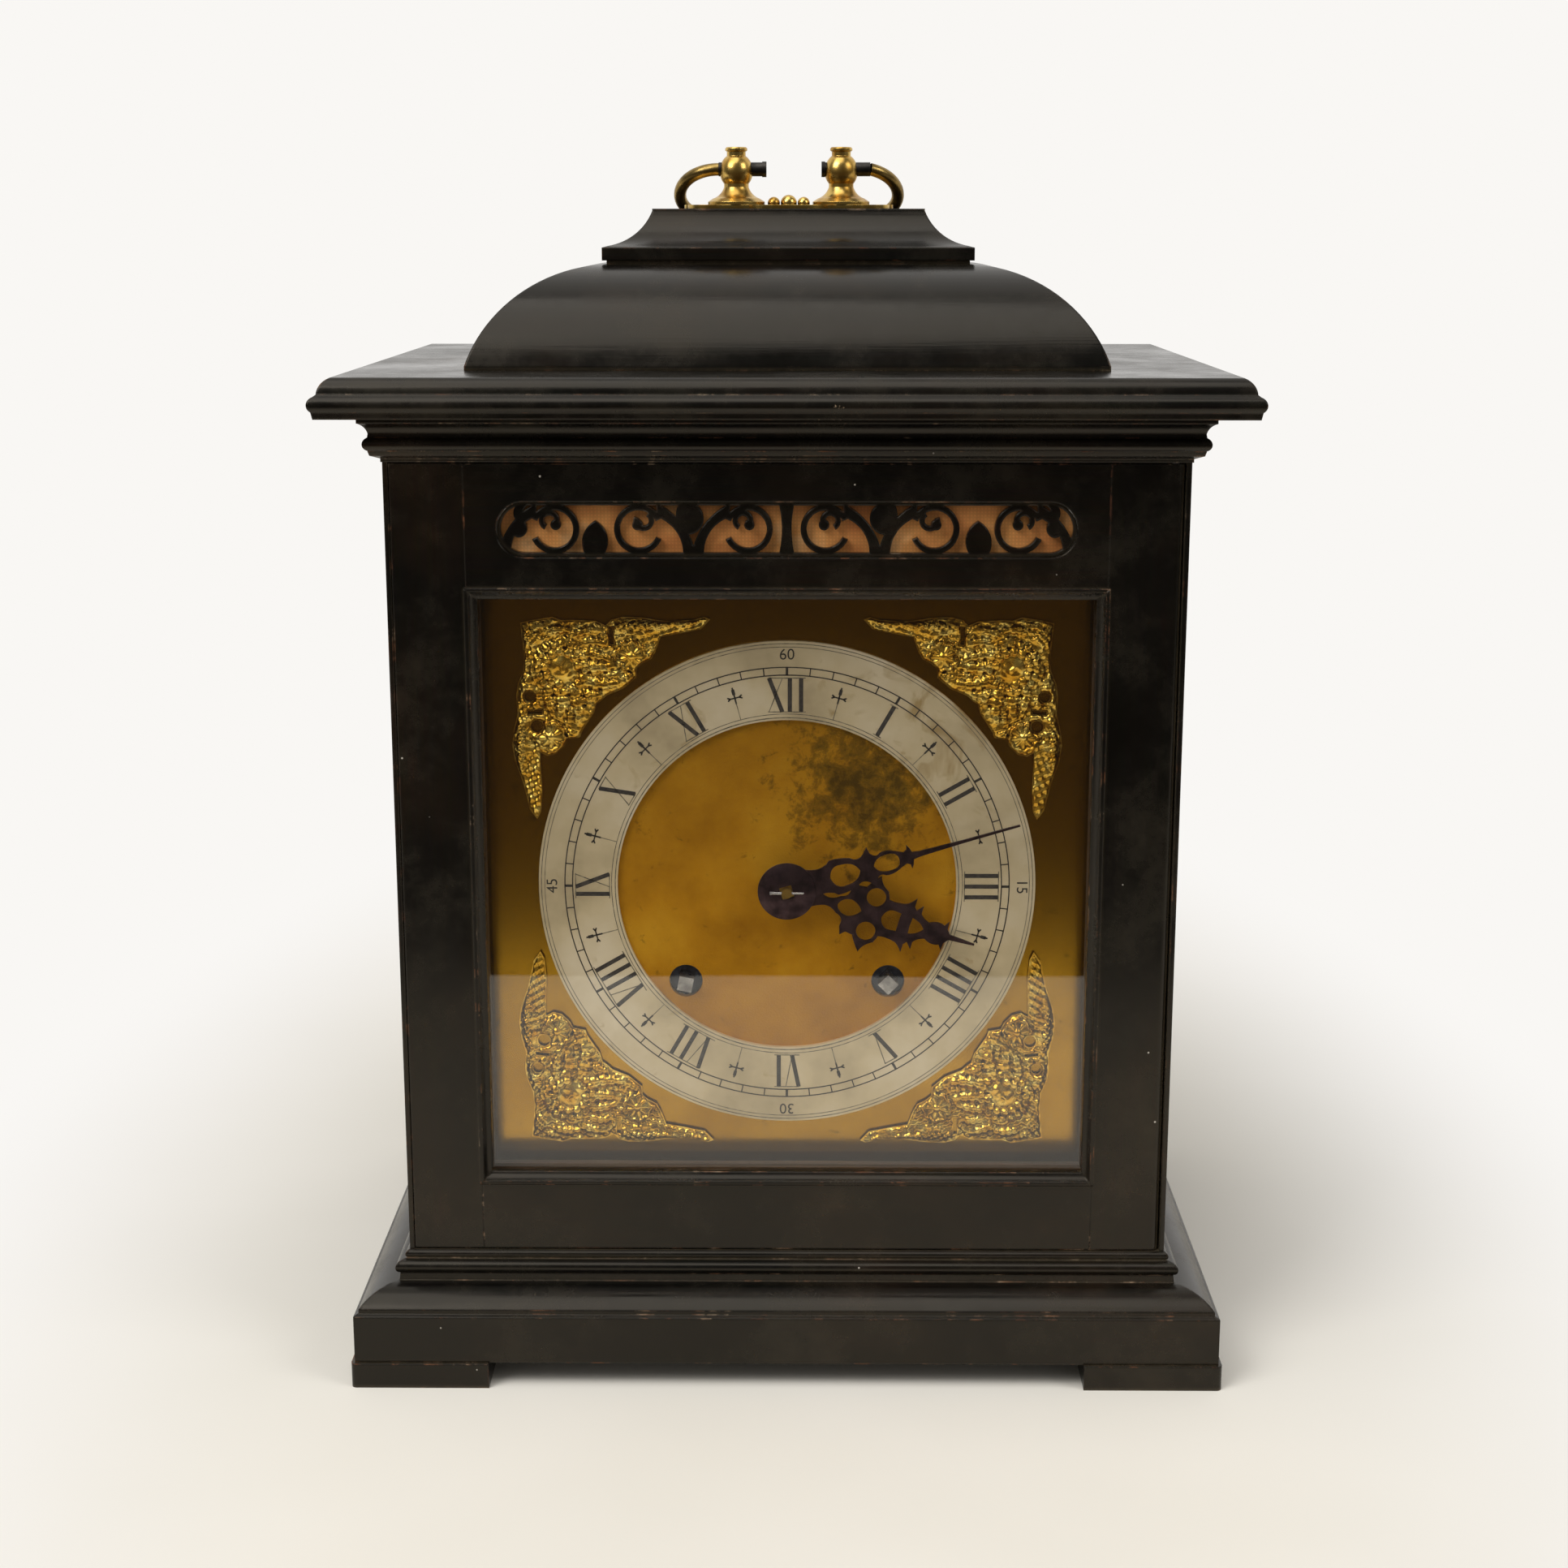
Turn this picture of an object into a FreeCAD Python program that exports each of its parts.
"""Bracket clock: an ebonised case with a caddy top and a folding handle, glazed front and back doors,
a brass dial with a silvered chapter ring, and an eight-day spring movement that strikes on a coil gong.

Row frame, millimetres: origin on the floor under the middle of the case, +Z up, the dial faces -Y.
Every driving dimension is a cell of the sheet. Depths that are called "from the front" are measured
back from the front plane of the case."""
import FreeCAD
import Part

import math
import os

import Sketcher

V = FreeCAD.Vector
doc = FreeCAD.newDocument("BracketClock")
sheet = doc.addObject("Spreadsheet::Sheet", "Sizes")

# alias, size, what it is
SIZES = [
    # case
    ("case_width", 228.0, "over the side boards"),
    ("case_depth", 168.0, "front plane to back plane"),
    ("body_bottom", 37.6, "underside of the side boards"),
    ("body_top", 275.0, "top of the side boards"),
    ("board_thick", 10.0, "side boards"),
    ("lip_thick", 1.4, "side board's lip beside a door"),
    ("door_thick", 12.0, "front and back door"),
    ("door_gap", 0.4, "running gap round a door"),
    ("foot_height", 7.7, ""),
    ("foot_length", 41.3, "each arm of a corner foot"),
    ("foot_width", 16.0, "each arm of a corner foot"),
    ("foot_reach", 16.3, "outside the case's faces"),
    ("foot_round", 1.6, "on the outer edges of a foot"),
    ("plinth_height", 14.5, "above the feet"),
    ("plinth_reach", 15.2, "outside the case's faces"),
    ("bed_height", 13.0, "moulding under the cornice"),
    ("cornice_thick", 11.2, ""),
    ("cornice_reach", 17.4, "tip of the cornice outside the case's faces"),
    ("caddy_inset", 21.0, "foot of the caddy inside the case's faces"),
    ("caddy_height", 29.3, ""),
    ("cap_inset", 58.2, "fillet of the cap inside the case's faces"),
    ("cap_table_inset", 72.6, "top of the cap inside the case's faces"),
    ("cap_height", 16.3, ""),
    ("base_board_thick", 9.6, ""),
    # front door
    ("sight_half", 88.5, "half width of the glass opening"),
    ("sight_drop", 85.6, "foot of the glass opening below the dial's centre"),
    ("sight_rise", 88.0, "head of the glass opening above the dial's centre"),
    ("glass_seat", 3.0, "frame's inner edge outside the glass opening"),
    ("moulding_flange", 0.5, "moulding's edge that lies on the frame"),
    ("moulding_proud", 0.8, "moulding in front of the frame"),
    ("glass_depth", 3.4, "front of the glass behind the frame's face"),
    ("glass_thick", 2.0, ""),
    ("slot_half", 82.4, "half length of the fret slot"),
    ("slot_drop", 10.9, "fret slot below the door's top edge"),
    ("slot_height", 15.7, ""),
    ("fret_depth", 2.0, "front of the fret behind the frame's face"),
    ("fret_thick", 2.4, ""),
    ("silk_thick", 0.5, ""),
    ("fit", 0.1, "clearance of a piece let into a frame"),
    ("door_pin_radius", 1.5, "pivot pins of both doors"),
    ("door_pin_depth", 6.0, "pin in the frame, and pin in the case"),
    ("door_round", 2.5, "rounded hinge edge, round the pivot"),
    ("running", 0.05, "radial clearance of a pin or arbor in its hole"),
    # back door
    ("back_stile", 24.0, "width of the back door's stiles and rails"),
    ("latch_height", 156.0, "turn catch above the floor"),
    ("latch_inset", 17.0, "turn catch inside the side board's face"),
    ("latch_reach", 6.2, "tongue from the catch's axis"),
    ("keep_height", 16.0, "block that the tongue turns behind"),
    ("keep_thick", 2.8, ""),
    ("keep_gap", 0.3, "before and behind the block"),
    ("keep_reach", 3.8, "block from the side board's face"),
    # dial
    ("dial_height", 147.8, "centre of the dial above the floor"),
    ("mask_half", 89.5, "half opening of the frame behind the door"),
    ("mask_gap", 0.5, "behind the door"),
    ("mask_thick", 3.5, ""),
    ("mask_top_height", 9.0, "strip above the dial"),
    ("dial_half", 91.5, "half side of the dial plate"),
    ("dial_thick", 2.0, ""),
    ("ring_outer", 74.0, "chapter ring"),
    ("ring_inner", 50.5, "chapter ring"),
    ("ring_thick", 1.4, "chapter ring"),
    ("wind_side", 30.4, "winding arbors beside the centre"),
    ("wind_drop", 29.9, "winding arbors below the centre"),
    ("wind_hole_radius", 5.0, ""),
    ("dial_hole_radius", 4.2, "for the hour pipe"),
    ("spandrel_margin", 11.4, "spandrel inside the dial plate's edge"),
    ("spandrel_thick", 1.3, "flat of the casting"),
    ("spandrel_relief", 3.0, "most that a casting stands off the plate"),
    ("dial_foot_radius", 3.0, ""),
    ("dial_foot_side", 50.0, "dial feet beside the centre"),
    ("dial_foot_drop", 46.0, "lower dial feet below the centre"),
    ("dial_foot_rise", 44.0, "upper dial feet above the centre"),
    # hands
    ("hour_hand_depth", 11.0, "front of the hour hand, from the front"),
    ("minute_hand_depth", 8.9, "front of the minute hand, from the front"),
    ("hand_thick", 0.8, ""),
    ("minute_reach", 71.5, "minute hand, axis to tip"),
    ("hour_reach", 60.0, "hour hand, axis to tip"),
    ("minute_angle", 73.7, "degrees past twelve"),
    ("hour_angle", 107.0, "degrees past twelve"),
    ("collet_radius", 8.6, ""),
    ("collet_thick", 1.8, ""),
    ("pin_length", 10.0, "taper pin through the centre arbor"),
    ("pin_radius", 0.5, ""),
    # handle
    ("post_side", 16.1, "handle posts beside the centre"),
    ("pivot_rise", 10.6, "axis of the handle above its plate"),
    ("post_ball_radius", 4.65, ""),
    ("post_neck_radius", 3.8, ""),
    ("post_flange_radius", 8.75, ""),
    ("knob_rise", 6.6, "top of a post above the axis of the handle"),
    ("handle_plate_thick", 1.2, ""),
    ("pivot_radius", 2.1, "pivots of the handle"),
    ("bail_radius", 1.9, "stock of the handle"),
    ("bail_half", 33.9, "centre line of the stock at its widest"),
    ("shoulder_radius", 12.4, "first bend of the handle"),
    ("return_radius", 11.0, "second bend of the handle"),
    ("bail_right_start", 25.0, "right end of the stock beside the centre"),
    ("grip_radius", 3.4, ""),
    ("bail_rest_angle", 39.0, "degrees that the folded handle hangs below level"),
    # movement
    ("plate_half", 57.0, "half width of the plates"),
    ("plate_drop", 59.8, "foot of the plates below the dial's centre"),
    ("plate_rise", 62.2, "head of the plates above the dial's centre"),
    ("plate_thick", 2.5, ""),
    ("front_plate_depth", 30.0, "front of the front plate, from the front"),
    ("plate_room", 44.0, "between the plates"),
    ("pillar_radius", 4.0, ""),
    ("pillar_inset", 7.0, "pillars inside the plates' edges"),
    ("seat_thick", 8.0, ""),
    ("seat_dado", 3.0, "seat board's ends in the side boards"),
    ("wheel_thick", 1.2, ""),
    ("great_wheel_thick", 2.0, ""),
    ("barrel_module", 0.8, ""),
    ("barrel_teeth", 60, ""),
    ("barrel_pinion_teeth", 12, ""),
    ("barrel_radius", 22.6, "drum"),
    ("barrel_length", 24.0, "drum"),
    ("winding_radius", 3.0, "winding arbor in the barrel"),
    ("winding_square", 4.4, "across the flats"),
    ("winding_depth", 12.0, "front of the winding squares, from the front"),
    ("ratchet_radius", 8.6, ""),
    ("ratchet_teeth", 20, ""),
    ("inter_module", 0.65, ""),
    ("inter_teeth", 56, ""),
    ("centre_pinion_teeth", 8, ""),
    ("centre_module", 0.42, ""),
    ("centre_teeth", 84, ""),
    ("third_pinion_teeth", 7, ""),
    ("third_module", 0.4, ""),
    ("third_teeth", 77, ""),
    ("escape_pinion_teeth", 7, ""),
    ("escape_teeth", 36, ""),
    ("escape_radius", 14.0, ""),
    ("escape_rise", 35.2, "escape arbor above the dial's centre"),
    ("pallet_rise", 55.2, "pallet arbor above the dial's centre"),
    ("arbor_radius", 1.3, "train arbors"),
    ("train_pivot_radius", 0.8, ""),
    ("slim_radius", 0.8, "third and escape arbors"),
    ("slim_pivot_radius", 0.6, "third and escape arbors"),
    ("centre_arbor_radius", 1.5, ""),
    ("cannon_radius", 2.2, "pipe of the cannon pinion"),
    ("cannon_square", 3.6, "across the flats"),
    ("hour_pipe_radius", 3.4, ""),
    ("minute_module", 0.5, "cannon pinion and minute wheel"),
    ("cannon_teeth", 15, ""),
    ("minute_teeth", 45, ""),
    ("hour_module", 0.6, "minute pinion and hour wheel"),
    ("minute_pinion_teeth", 10, ""),
    ("hour_teeth", 40, ""),
    ("pin_module", 0.6, "pin wheel and fly pinion"),
    ("pin_teeth", 54, ""),
    ("fly_teeth", 8, ""),
    ("pin_circle", 12.0, "lifting pins of the pin wheel"),
    ("pendulum_length", 143.0, "pivot to the middle of the bob"),
    ("bob_radius", 16.0, ""),
    ("bob_thick", 9.0, ""),
    ("pendulum_room", 10.0, "middle of the rod behind the back plate"),
    ("gong_depth", 120.0, "middle of the gong's wire, from the front"),
    ("gong_drop", 29.8, "centre of the gong below the dial's centre"),
    ("gong_wire", 3.0, "diameter"),
    ("gong_pitch", 6.4, "from turn to turn"),
    ("gong_half_turns", 8, ""),
    ("hammer_side", -40.0, "hammer arbor beside the centre"),
    ("hammer_rise", 40.2, "hammer arbor above the dial's centre"),
]
for row, (alias, size, note) in enumerate(SIZES, 1):
    sheet.set(f"A{row}", alias)
    sheet.set(f"B{row}", str(size))
    sheet.set(f"C{row}", note)
    sheet.setAlias(f"B{row}", alias)
doc.recompute()


class Dim:
    """A size together with the expression of sheet cells that gives it."""

    def __init__(self, value, text=None):
        self.value = float(value)
        self.text = text or f"({self.value:.6f})"

    def __add__(self, other):
        other = dim(other)
        return Dim(self.value + other.value, f"({self.text} + {other.text})")

    def __sub__(self, other):
        other = dim(other)
        return Dim(self.value - other.value, f"({self.text} - {other.text})")

    def __mul__(self, other):
        other = dim(other)
        return Dim(self.value * other.value, f"({self.text} * {other.text})")

    def __truediv__(self, other):
        other = dim(other)
        return Dim(self.value / other.value, f"({self.text} / {other.text})")

    def __neg__(self):
        return Dim(-self.value, f"(0 - {self.text})")

    def __radd__(self, other):
        return dim(other) + self

    def __rsub__(self, other):
        return dim(other) - self

    def __rmul__(self, other):
        return dim(other) * self

    def __float__(self):
        return self.value


def dim(size):
    """Any number as a Dim."""
    return size if isinstance(size, Dim) else Dim(size)


class Cells:
    """The sheet's cells as Dims: cells.case_width."""

    def __getattr__(self, alias):
        return Dim(sheet.get(alias), f"Sizes.{alias}")


cells = Cells()
ALONG = {"X": V(1, 0, 0), "Y": V(0, 1, 0), "Z": V(0, 0, 1)}
# a cylinder or cone stands on +Z until it is turned to its axis
STAND = {
    "X": FreeCAD.Rotation(V(0, 1, 0), 90),
    "Y": FreeCAD.Rotation(V(1, 0, 0), -90),
    "Z": FreeCAD.Rotation(),
}
# a sketch's own x and y on the row's planes
SKETCH = {
    "XY": FreeCAD.Rotation(),
    "XZ": FreeCAD.Rotation(V(1, 0, 0), 90),
    "YZ": FreeCAD.Rotation(V(0, 1, 0), V(0, 0, 1), V(1, 0, 0)),
    "YX": FreeCAD.Rotation(V(0, 1, 0), V(1, 0, 0), V(0, 0, -1)),
}
SUBPARTS = {}


def bind(thing, prop, size):
    """Ties a property to the sheet."""
    thing.setExpression(prop, dim(size).text)


def place(thing, at, turn=None):
    """Puts a thing at a point of the row frame, turned by a rotation."""
    if turn:
        thing.Placement = FreeCAD.Placement(V(), turn)
    for letter, size in zip("xyz", at):
        bind(thing, f"Placement.Base.{letter}", size)
    return thing


def box(name, xs, ys, zs):
    """A box between two limits on each axis."""
    thing = doc.addObject("Part::Box", name)
    for prop, (low, high) in zip(("Length", "Width", "Height"), (xs, ys, zs)):
        bind(thing, prop, dim(high) - low)
    return place(thing, (xs[0], ys[0], zs[0]))


def spot(axis, along, across):
    """The point whose coordinate on the axis is along, and whose two others are across."""
    point = list(across)
    point.insert("XYZ".index(axis), along)
    return point


def rod(name, axis, radius, ends, across):
    """A cylinder on an axis of the row frame, between two ends."""
    thing = doc.addObject("Part::Cylinder", name)
    bind(thing, "Radius", radius)
    bind(thing, "Height", dim(ends[1]) - ends[0])
    return place(thing, spot(axis, ends[0], across), STAND[axis])


def fuse(name, *things):
    """One solid from several that touch or overlap."""
    if len(things) == 1:
        return things[0]
    thing = doc.addObject("Part::MultiFuse", name)
    thing.Shapes = list(things)
    thing.Refine = True
    return thing


def cut(name, base, *tools):
    """A solid less its tools."""
    thing = doc.addObject("Part::Cut", name)
    thing.Base = base
    thing.Tool = fuse(name + "_tools", *tools)
    return thing


def common(name, *things):
    """What several solids share."""
    thing = doc.addObject("Part::MultiCommon", name)
    thing.Shapes = list(things)
    return thing


def group(name, things):
    """Separate solids kept together."""
    thing = doc.addObject("Part::Compound", name)
    thing.Links = list(things)
    return thing


def mirrored(name, source, axis):
    """A copy of a solid on the other side of the row frame's middle plane."""
    thing = doc.addObject("Part::Mirroring", name)
    thing.Source = source
    thing.Normal = ALONG[axis]
    return thing


def arc_between(start, end, radius):
    """The short arc that turns left from start to end, or right if the radius is negative."""
    chord = end - start
    half = chord.Length / 2
    rise = math.sqrt(max(radius * radius - half * half, 0))
    left = V(-chord.y, chord.x, 0).normalize()
    centre = (start + end) / 2 + left * math.copysign(rise, radius)
    first, last = (start, end) if radius > 0 else (end, start)
    turn = [math.atan2(p.y - centre.y, p.x - centre.x) for p in (first, last)]
    if turn[1] < turn[0]:
        turn[1] += 2 * math.pi
    circle = Part.Circle(centre, V(0, 0, 1), abs(radius))
    return Part.ArcOfCircle(circle, turn[0], turn[1])


def outline(name, plane, at, points, closed=True):
    """A sketch through points (x, y) or (x, y, radius of the arc that leads on to the next point)."""
    sketch = doc.addObject("Sketcher::SketchObject", name)
    place(sketch, at, SKETCH[plane])
    flat = [V(float(point[0]), float(point[1]), 0) for point in points]
    count = len(points) if closed else len(points) - 1
    lines, ends = [], []
    for number in range(count):
        start, end = flat[number], flat[(number + 1) % len(points)]
        radius = points[number][2] if len(points[number]) > 2 else None
        if radius is None:
            lines.append(Part.LineSegment(start, end))
            ends.append((1, 2))
        else:
            lines.append(arc_between(start, end, float(radius)))
            ends.append((1, 2) if float(radius) > 0 else (2, 1))
    sketch.addGeometry(lines, False)
    rules, ties = [], []
    for number in range(count):
        if closed or number + 1 < count:
            after = (number + 1) % count
            rules.append(Sketcher.Constraint("Coincident", number, ends[number][1], after, ends[after][0]))
        for kind, size in zip(("DistanceX", "DistanceY"), points[number]):
            ties.append((len(rules), size))
            rules.append(Sketcher.Constraint(kind, -1, 1, number, ends[number][0], float(size)))
        if len(points[number]) > 2:
            radius = dim(points[number][2])
            ties.append((len(rules), radius if radius.value > 0 else -radius))
            rules.append(Sketcher.Constraint("Radius", number, abs(radius.value)))
    if not closed:
        for kind, size in zip(("DistanceX", "DistanceY"), points[-1]):
            ties.append((len(rules), size))
            rules.append(Sketcher.Constraint(kind, -1, 1, count - 1, ends[-1][1], float(size)))
    sketch.addConstraint(rules)
    for number, size in ties:
        bind(sketch, f"Constraints[{number}]", size)
    return sketch


def raised(name, sketch, axis, length):
    """A sketch extruded along an axis, half to each side of its plane."""
    thing = doc.addObject("Part::Extrusion", name)
    thing.Base = sketch
    thing.DirMode = "Custom"
    thing.Dir = ALONG[axis]
    thing.Solid = True
    thing.Symmetric = True
    bind(thing, "LengthFwd", length)
    return thing


def turned(name, axis, at, points):
    """A solid of revolution; each point is (radius, place along the axis)."""
    plane = {"X": "YX", "Y": "XY", "Z": "XZ"}[axis]
    thing = doc.addObject("Part::Revolution", name)
    thing.Source = outline(name + "_profile", plane, at, points)
    thing.Axis = ALONG[axis]
    thing.Angle = 360
    thing.Solid = True
    for letter, size in zip("xyz", at):
        bind(thing, f"Base.{letter}", size)
    return thing


def fixed(name, shape):
    """A form whose shape is worked out here from the sheet."""
    thing = doc.addObject("Part::Feature", name)
    thing.Shape = shape
    return thing


def subpart(name, thing):
    """Names a finished sub-part."""
    thing.Label = name
    SUBPARTS[name] = thing
    return thing


# ------------------------------------------------------------------ places worked out from the sizes
half_width = cells.case_width / 2
half_depth = cells.case_depth / 2
front = -half_depth
inner_half = half_width - cells.board_thick
door_half = half_width - cells.lip_thick - cells.door_gap + 0.1
door_bottom = cells.body_bottom + cells.door_gap
door_top = cells.body_top - cells.door_gap
door_back = front + cells.door_thick
hinge_x = door_half - cells.door_round
cornice_bottom = cells.body_top + cells.bed_height
cornice_top = cornice_bottom + cells.cornice_thick
caddy_top = cornice_top + cells.caddy_height
cap_top = caddy_top + cells.cap_height
handle_foot = cap_top + cells.handle_plate_thick
handle_z = handle_foot + cells.pivot_rise
slot_top = door_top - cells.slot_drop
slot_bottom = slot_top - cells.slot_height
hinge_y = half_depth - cells.door_round
frame_half = cells.sight_half + cells.glass_seat
dial_z = cells.dial_height
sight_low = dial_z - cells.sight_drop
sight_high = dial_z + cells.sight_rise
frame_low = sight_low - cells.glass_seat
frame_high = sight_high + cells.glass_seat
mask_front = door_back + cells.mask_gap
plate_front = mask_front + cells.mask_thick
plate_back = plate_front + cells.dial_thick
wind_z = dial_z - cells.wind_drop
front_plate = (front + cells.front_plate_depth, front + cells.front_plate_depth + cells.plate_thick)
back_plate = (front_plate[1] + cells.plate_room, front_plate[1] + cells.plate_room + cells.plate_thick)
pendulum_y = back_plate[1] + cells.pendulum_room
gong_z = dial_z - cells.gong_drop
seat_z = (dial_z - cells.plate_drop - cells.seat_thick, dial_z - cells.plate_drop)


# ------------------------------------------------------------------ case
def mitred_strips(name, profile, inside, heights, reach, holes):
    """Four mitred strips round the case; the profile gives (distance outside the case's faces, height)."""
    low, high = heights
    middle = (low + high) / 2
    tall = high - low + 10

    def strip(side, across, along):
        """One strip whose profile runs out from across; along is half its length."""
        plane, axis = ("XZ", "Y") if side == "side" else ("YZ", "X")
        sign = 1 if side == "side" else -1
        points = []
        for point in profile:
            reached = across + point[0]
            bend = [point[2] if sign > 0 else -dim(point[2])] if len(point) > 2 else []
            points.append([reached if sign > 0 else -reached, point[1], *bend])
        section = outline(f"{name}_{side}_profile", plane, (0, 0, 0), points)
        bar = raised(f"{name}_{side}_bar", section, axis, 2 * (along + reach))
        near, far = across - inside, across + reach
        short, long = along - inside, along + reach
        if side == "side":
            corners = [(near, -short), (far, -long), (far, long), (near, short)]
        else:
            corners = [(-short, -near), (-long, -far), (long, -far), (short, -near)]
        wedge = outline(f"{name}_{side}_mitre", "XY", (0, 0, middle), corners)
        ends = raised(f"{name}_{side}_ends", wedge, "Z", tall)
        return common(f"{name}_{side}_whole", bar, ends)

    pieces = []
    for side, across, along, axis in (
        ("side", half_width, half_depth, "X"),
        ("front", half_depth, half_width, "Y"),
    ):
        one = strip(side, across, along)
        other = mirrored(f"{name}_{side}_opposite", one, axis)
        pieces += [one, other]
    drilled = [cut(f"{name}_strip_{n}", piece, *holes(f"{name}_{n}")) for n, piece in enumerate(pieces)]
    return subpart(name, group(name + "_group", drilled))


def hinge_spots():
    """Where the doors' pivots stand: right for the front door, left for the back door."""
    return ((hinge_x, -hinge_y), (-hinge_x, hinge_y))


def pivot_holes(low, high):
    """A maker of holes for the doors' pivots between two heights."""

    def holes(name):
        radius = cells.door_pin_radius + cells.running
        return [
            rod(f"{name}_hole_{n}", "Z", radius, (low, high), at) for n, at in enumerate(hinge_spots())
        ]

    return holes


def case_base():
    """Feet, base mouldings and base board."""
    bottom, top = cells.foot_height, cells.body_bottom
    plinth, reach = cells.foot_height + cells.plinth_height, cells.plinth_reach
    inside = -cells.board_thick
    profile = [
        (inside, bottom),
        (reach, bottom),
        (reach, plinth),
        (reach - 1.4, plinth + 0.6),
        (reach - 1.4, plinth + 1.8, 12.5),
        (3.0, top - 8.8),
        (2.7, top - 6.4, 1.9),
        (2.7, top - 2.8),
        (0.6, top - 2.4, 1.15),
        (0.6, top - 0.3),
        (0.0, top),
        (inside, top),
    ]
    holes = pivot_holes(top - cells.door_pin_depth - 0.5, top + 1)
    mitred_strips("base_moulding", profile, cells.board_thick, (bottom, top), reach, holes)
    board_top = cells.body_bottom
    board = box(
        "base_board_body",
        (-inner_half, inner_half),
        (-half_depth + cells.board_thick, half_depth - cells.board_thick),
        (board_top - cells.base_board_thick, board_top),
    )
    subpart("base_board", board)
    feet = []
    outer_x, outer_y = half_width + cells.foot_reach, half_depth + cells.foot_reach
    for name, sx, sy in (("a", 1, 1), ("b", -1, 1), ("c", -1, -1), ("d", 1, -1)):
        far_x, far_y = outer_x * sx, outer_y * sy
        near_x = (outer_x - cells.foot_length) * sx
        near_y = (outer_y - cells.foot_length) * sy
        mid_x = (outer_x - cells.foot_width) * sx
        mid_y = (outer_y - cells.foot_width) * sy
        turn = sx * sy
        corner = cells.foot_round
        points = [
            (far_x - corner * sx, far_y, corner * -turn),
            (far_x, far_y - corner * sy),
            (far_x, near_y),
            (mid_x, near_y),
            (mid_x, mid_y),
            (near_x, mid_y),
            (near_x, far_y),
        ]
        middle = cells.foot_height / 2
        pad = outline(f"foot_{name}_plan", "XY", (0, 0, middle), points)
        feet.append(raised(f"foot_{name}", pad, "Z", cells.foot_height))
    subpart("feet", group("feet_group", feet))


def case_sides():
    """Side boards, rebated for both doors and housed for the seat board; one has the catch's keep glued on."""
    outer, inner = half_width, inner_half
    lip = half_width - cells.lip_thick
    heights = (cells.body_bottom, cells.body_top)
    rebate = cells.door_thick + cells.door_gap
    for side, sign in (("left", -1), ("right", 1)):
        def span(low, high, sign=sign):
            """Limits in x, on this side."""
            return (low, high) if sign > 0 else (-high, -low)

        name = f"side_board_{side}"
        board = box(name + "_blank", span(inner, outer), (-half_depth, half_depth), heights)
        tools = [
            box(name + "_front_rebate", span(inner - 1, lip), (-half_depth - 1, -half_depth + rebate),
                (heights[0] - 1, heights[1] + 1)),
            box(name + "_back_rebate", span(inner - 1, lip), (half_depth - rebate, half_depth + 1),
                (heights[0] - 1, heights[1] + 1)),
            box(name + "_dado", span(inner - 1, inner + cells.seat_dado), seat_depths(), seat_z),
        ]
        body = cut(name + "_body", board, *tools)
        if side == "right":
            keep_front = latch_tongue()[1] + cells.keep_gap
            keep = box(name + "_keep", (inner - cells.keep_reach, inner),
                       (keep_front, keep_front + cells.keep_thick),
                       (cells.latch_height - cells.keep_height / 2, cells.latch_height + cells.keep_height / 2))
            body = group(name + "_group", [body, keep])
        subpart(name, body)


def seat_depths():
    """The seat board from front to back."""
    return (front + 24, front + 84)


def latch_tongue():
    """The catch's tongue, in front of the back door."""
    back = half_depth - cells.door_thick - cells.keep_thick - 2 * cells.keep_gap
    return (back - 2, back)


def case_top():
    """Bed moulding, cornice, caddy and cap."""
    low, high = cells.body_top, cornice_bottom
    inside = -cells.board_thick
    profile = [
        (inside, low),
        (0.4, low),
        (0.4, low + 1.0),
        (3.0, low + 2.0),
        (3.4, low + 3.2),
        (3.4, low + 3.4, 1.95),
        (3.4, low + 7.1),
        (3.2, low + 8.1, -4.0),
        (5.9, low + 11.2),
        (5.9, high),
        (inside, high),
    ]
    holes = pivot_holes(low - 1, low + cells.door_pin_depth + 0.5)
    mitred_strips("bed_moulding", profile, cells.board_thick, (low, high), 8.0, holes)
    tip, top = cells.cornice_reach, cornice_top
    cornice = [
        (tip - 1.4, high),
        (tip - 1.0, high + 2.0, 2.4),
        (tip - 1.6, high + 6.2),
        (tip - 2.4, high + 6.8, 5.2),
        (tip - 5.8, top),
    ]
    moulded_block("cornice_slab", cornice)
    foot = cornice_top
    caddy = [
        (-cells.caddy_inset, foot),
        (-cells.caddy_inset, foot + 1.2, 41.4),
        (-cells.caddy_inset - 39.0, caddy_top),
    ]
    moulded_block("caddy_block", caddy)
    fillet = -cells.cap_inset
    table = -cells.cap_table_inset
    cap = [
        (fillet - 1.3, caddy_top),
        (fillet - 1.3, caddy_top + 1.1),
        (fillet, caddy_top + 1.1),
        (fillet, caddy_top + 4.9),
        (fillet - 1.8, caddy_top + 5.4, -16.3),
        (table, cap_top - 0.6),
        (table, cap_top),
    ]
    cap_body = moulded_block("cap_block_solid", cap, keep=False)
    tails = [
        rod(f"cap_tail_hole_{n}", "Z", cells.post_neck_radius - 1.4,
            (cap_top - 11, cap_top + 1), (x, 0))
        for n, x in enumerate((-cells.post_side, cells.post_side))
    ]
    subpart("cap_block", cut("cap_block_body", cap_body, *tails))


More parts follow.
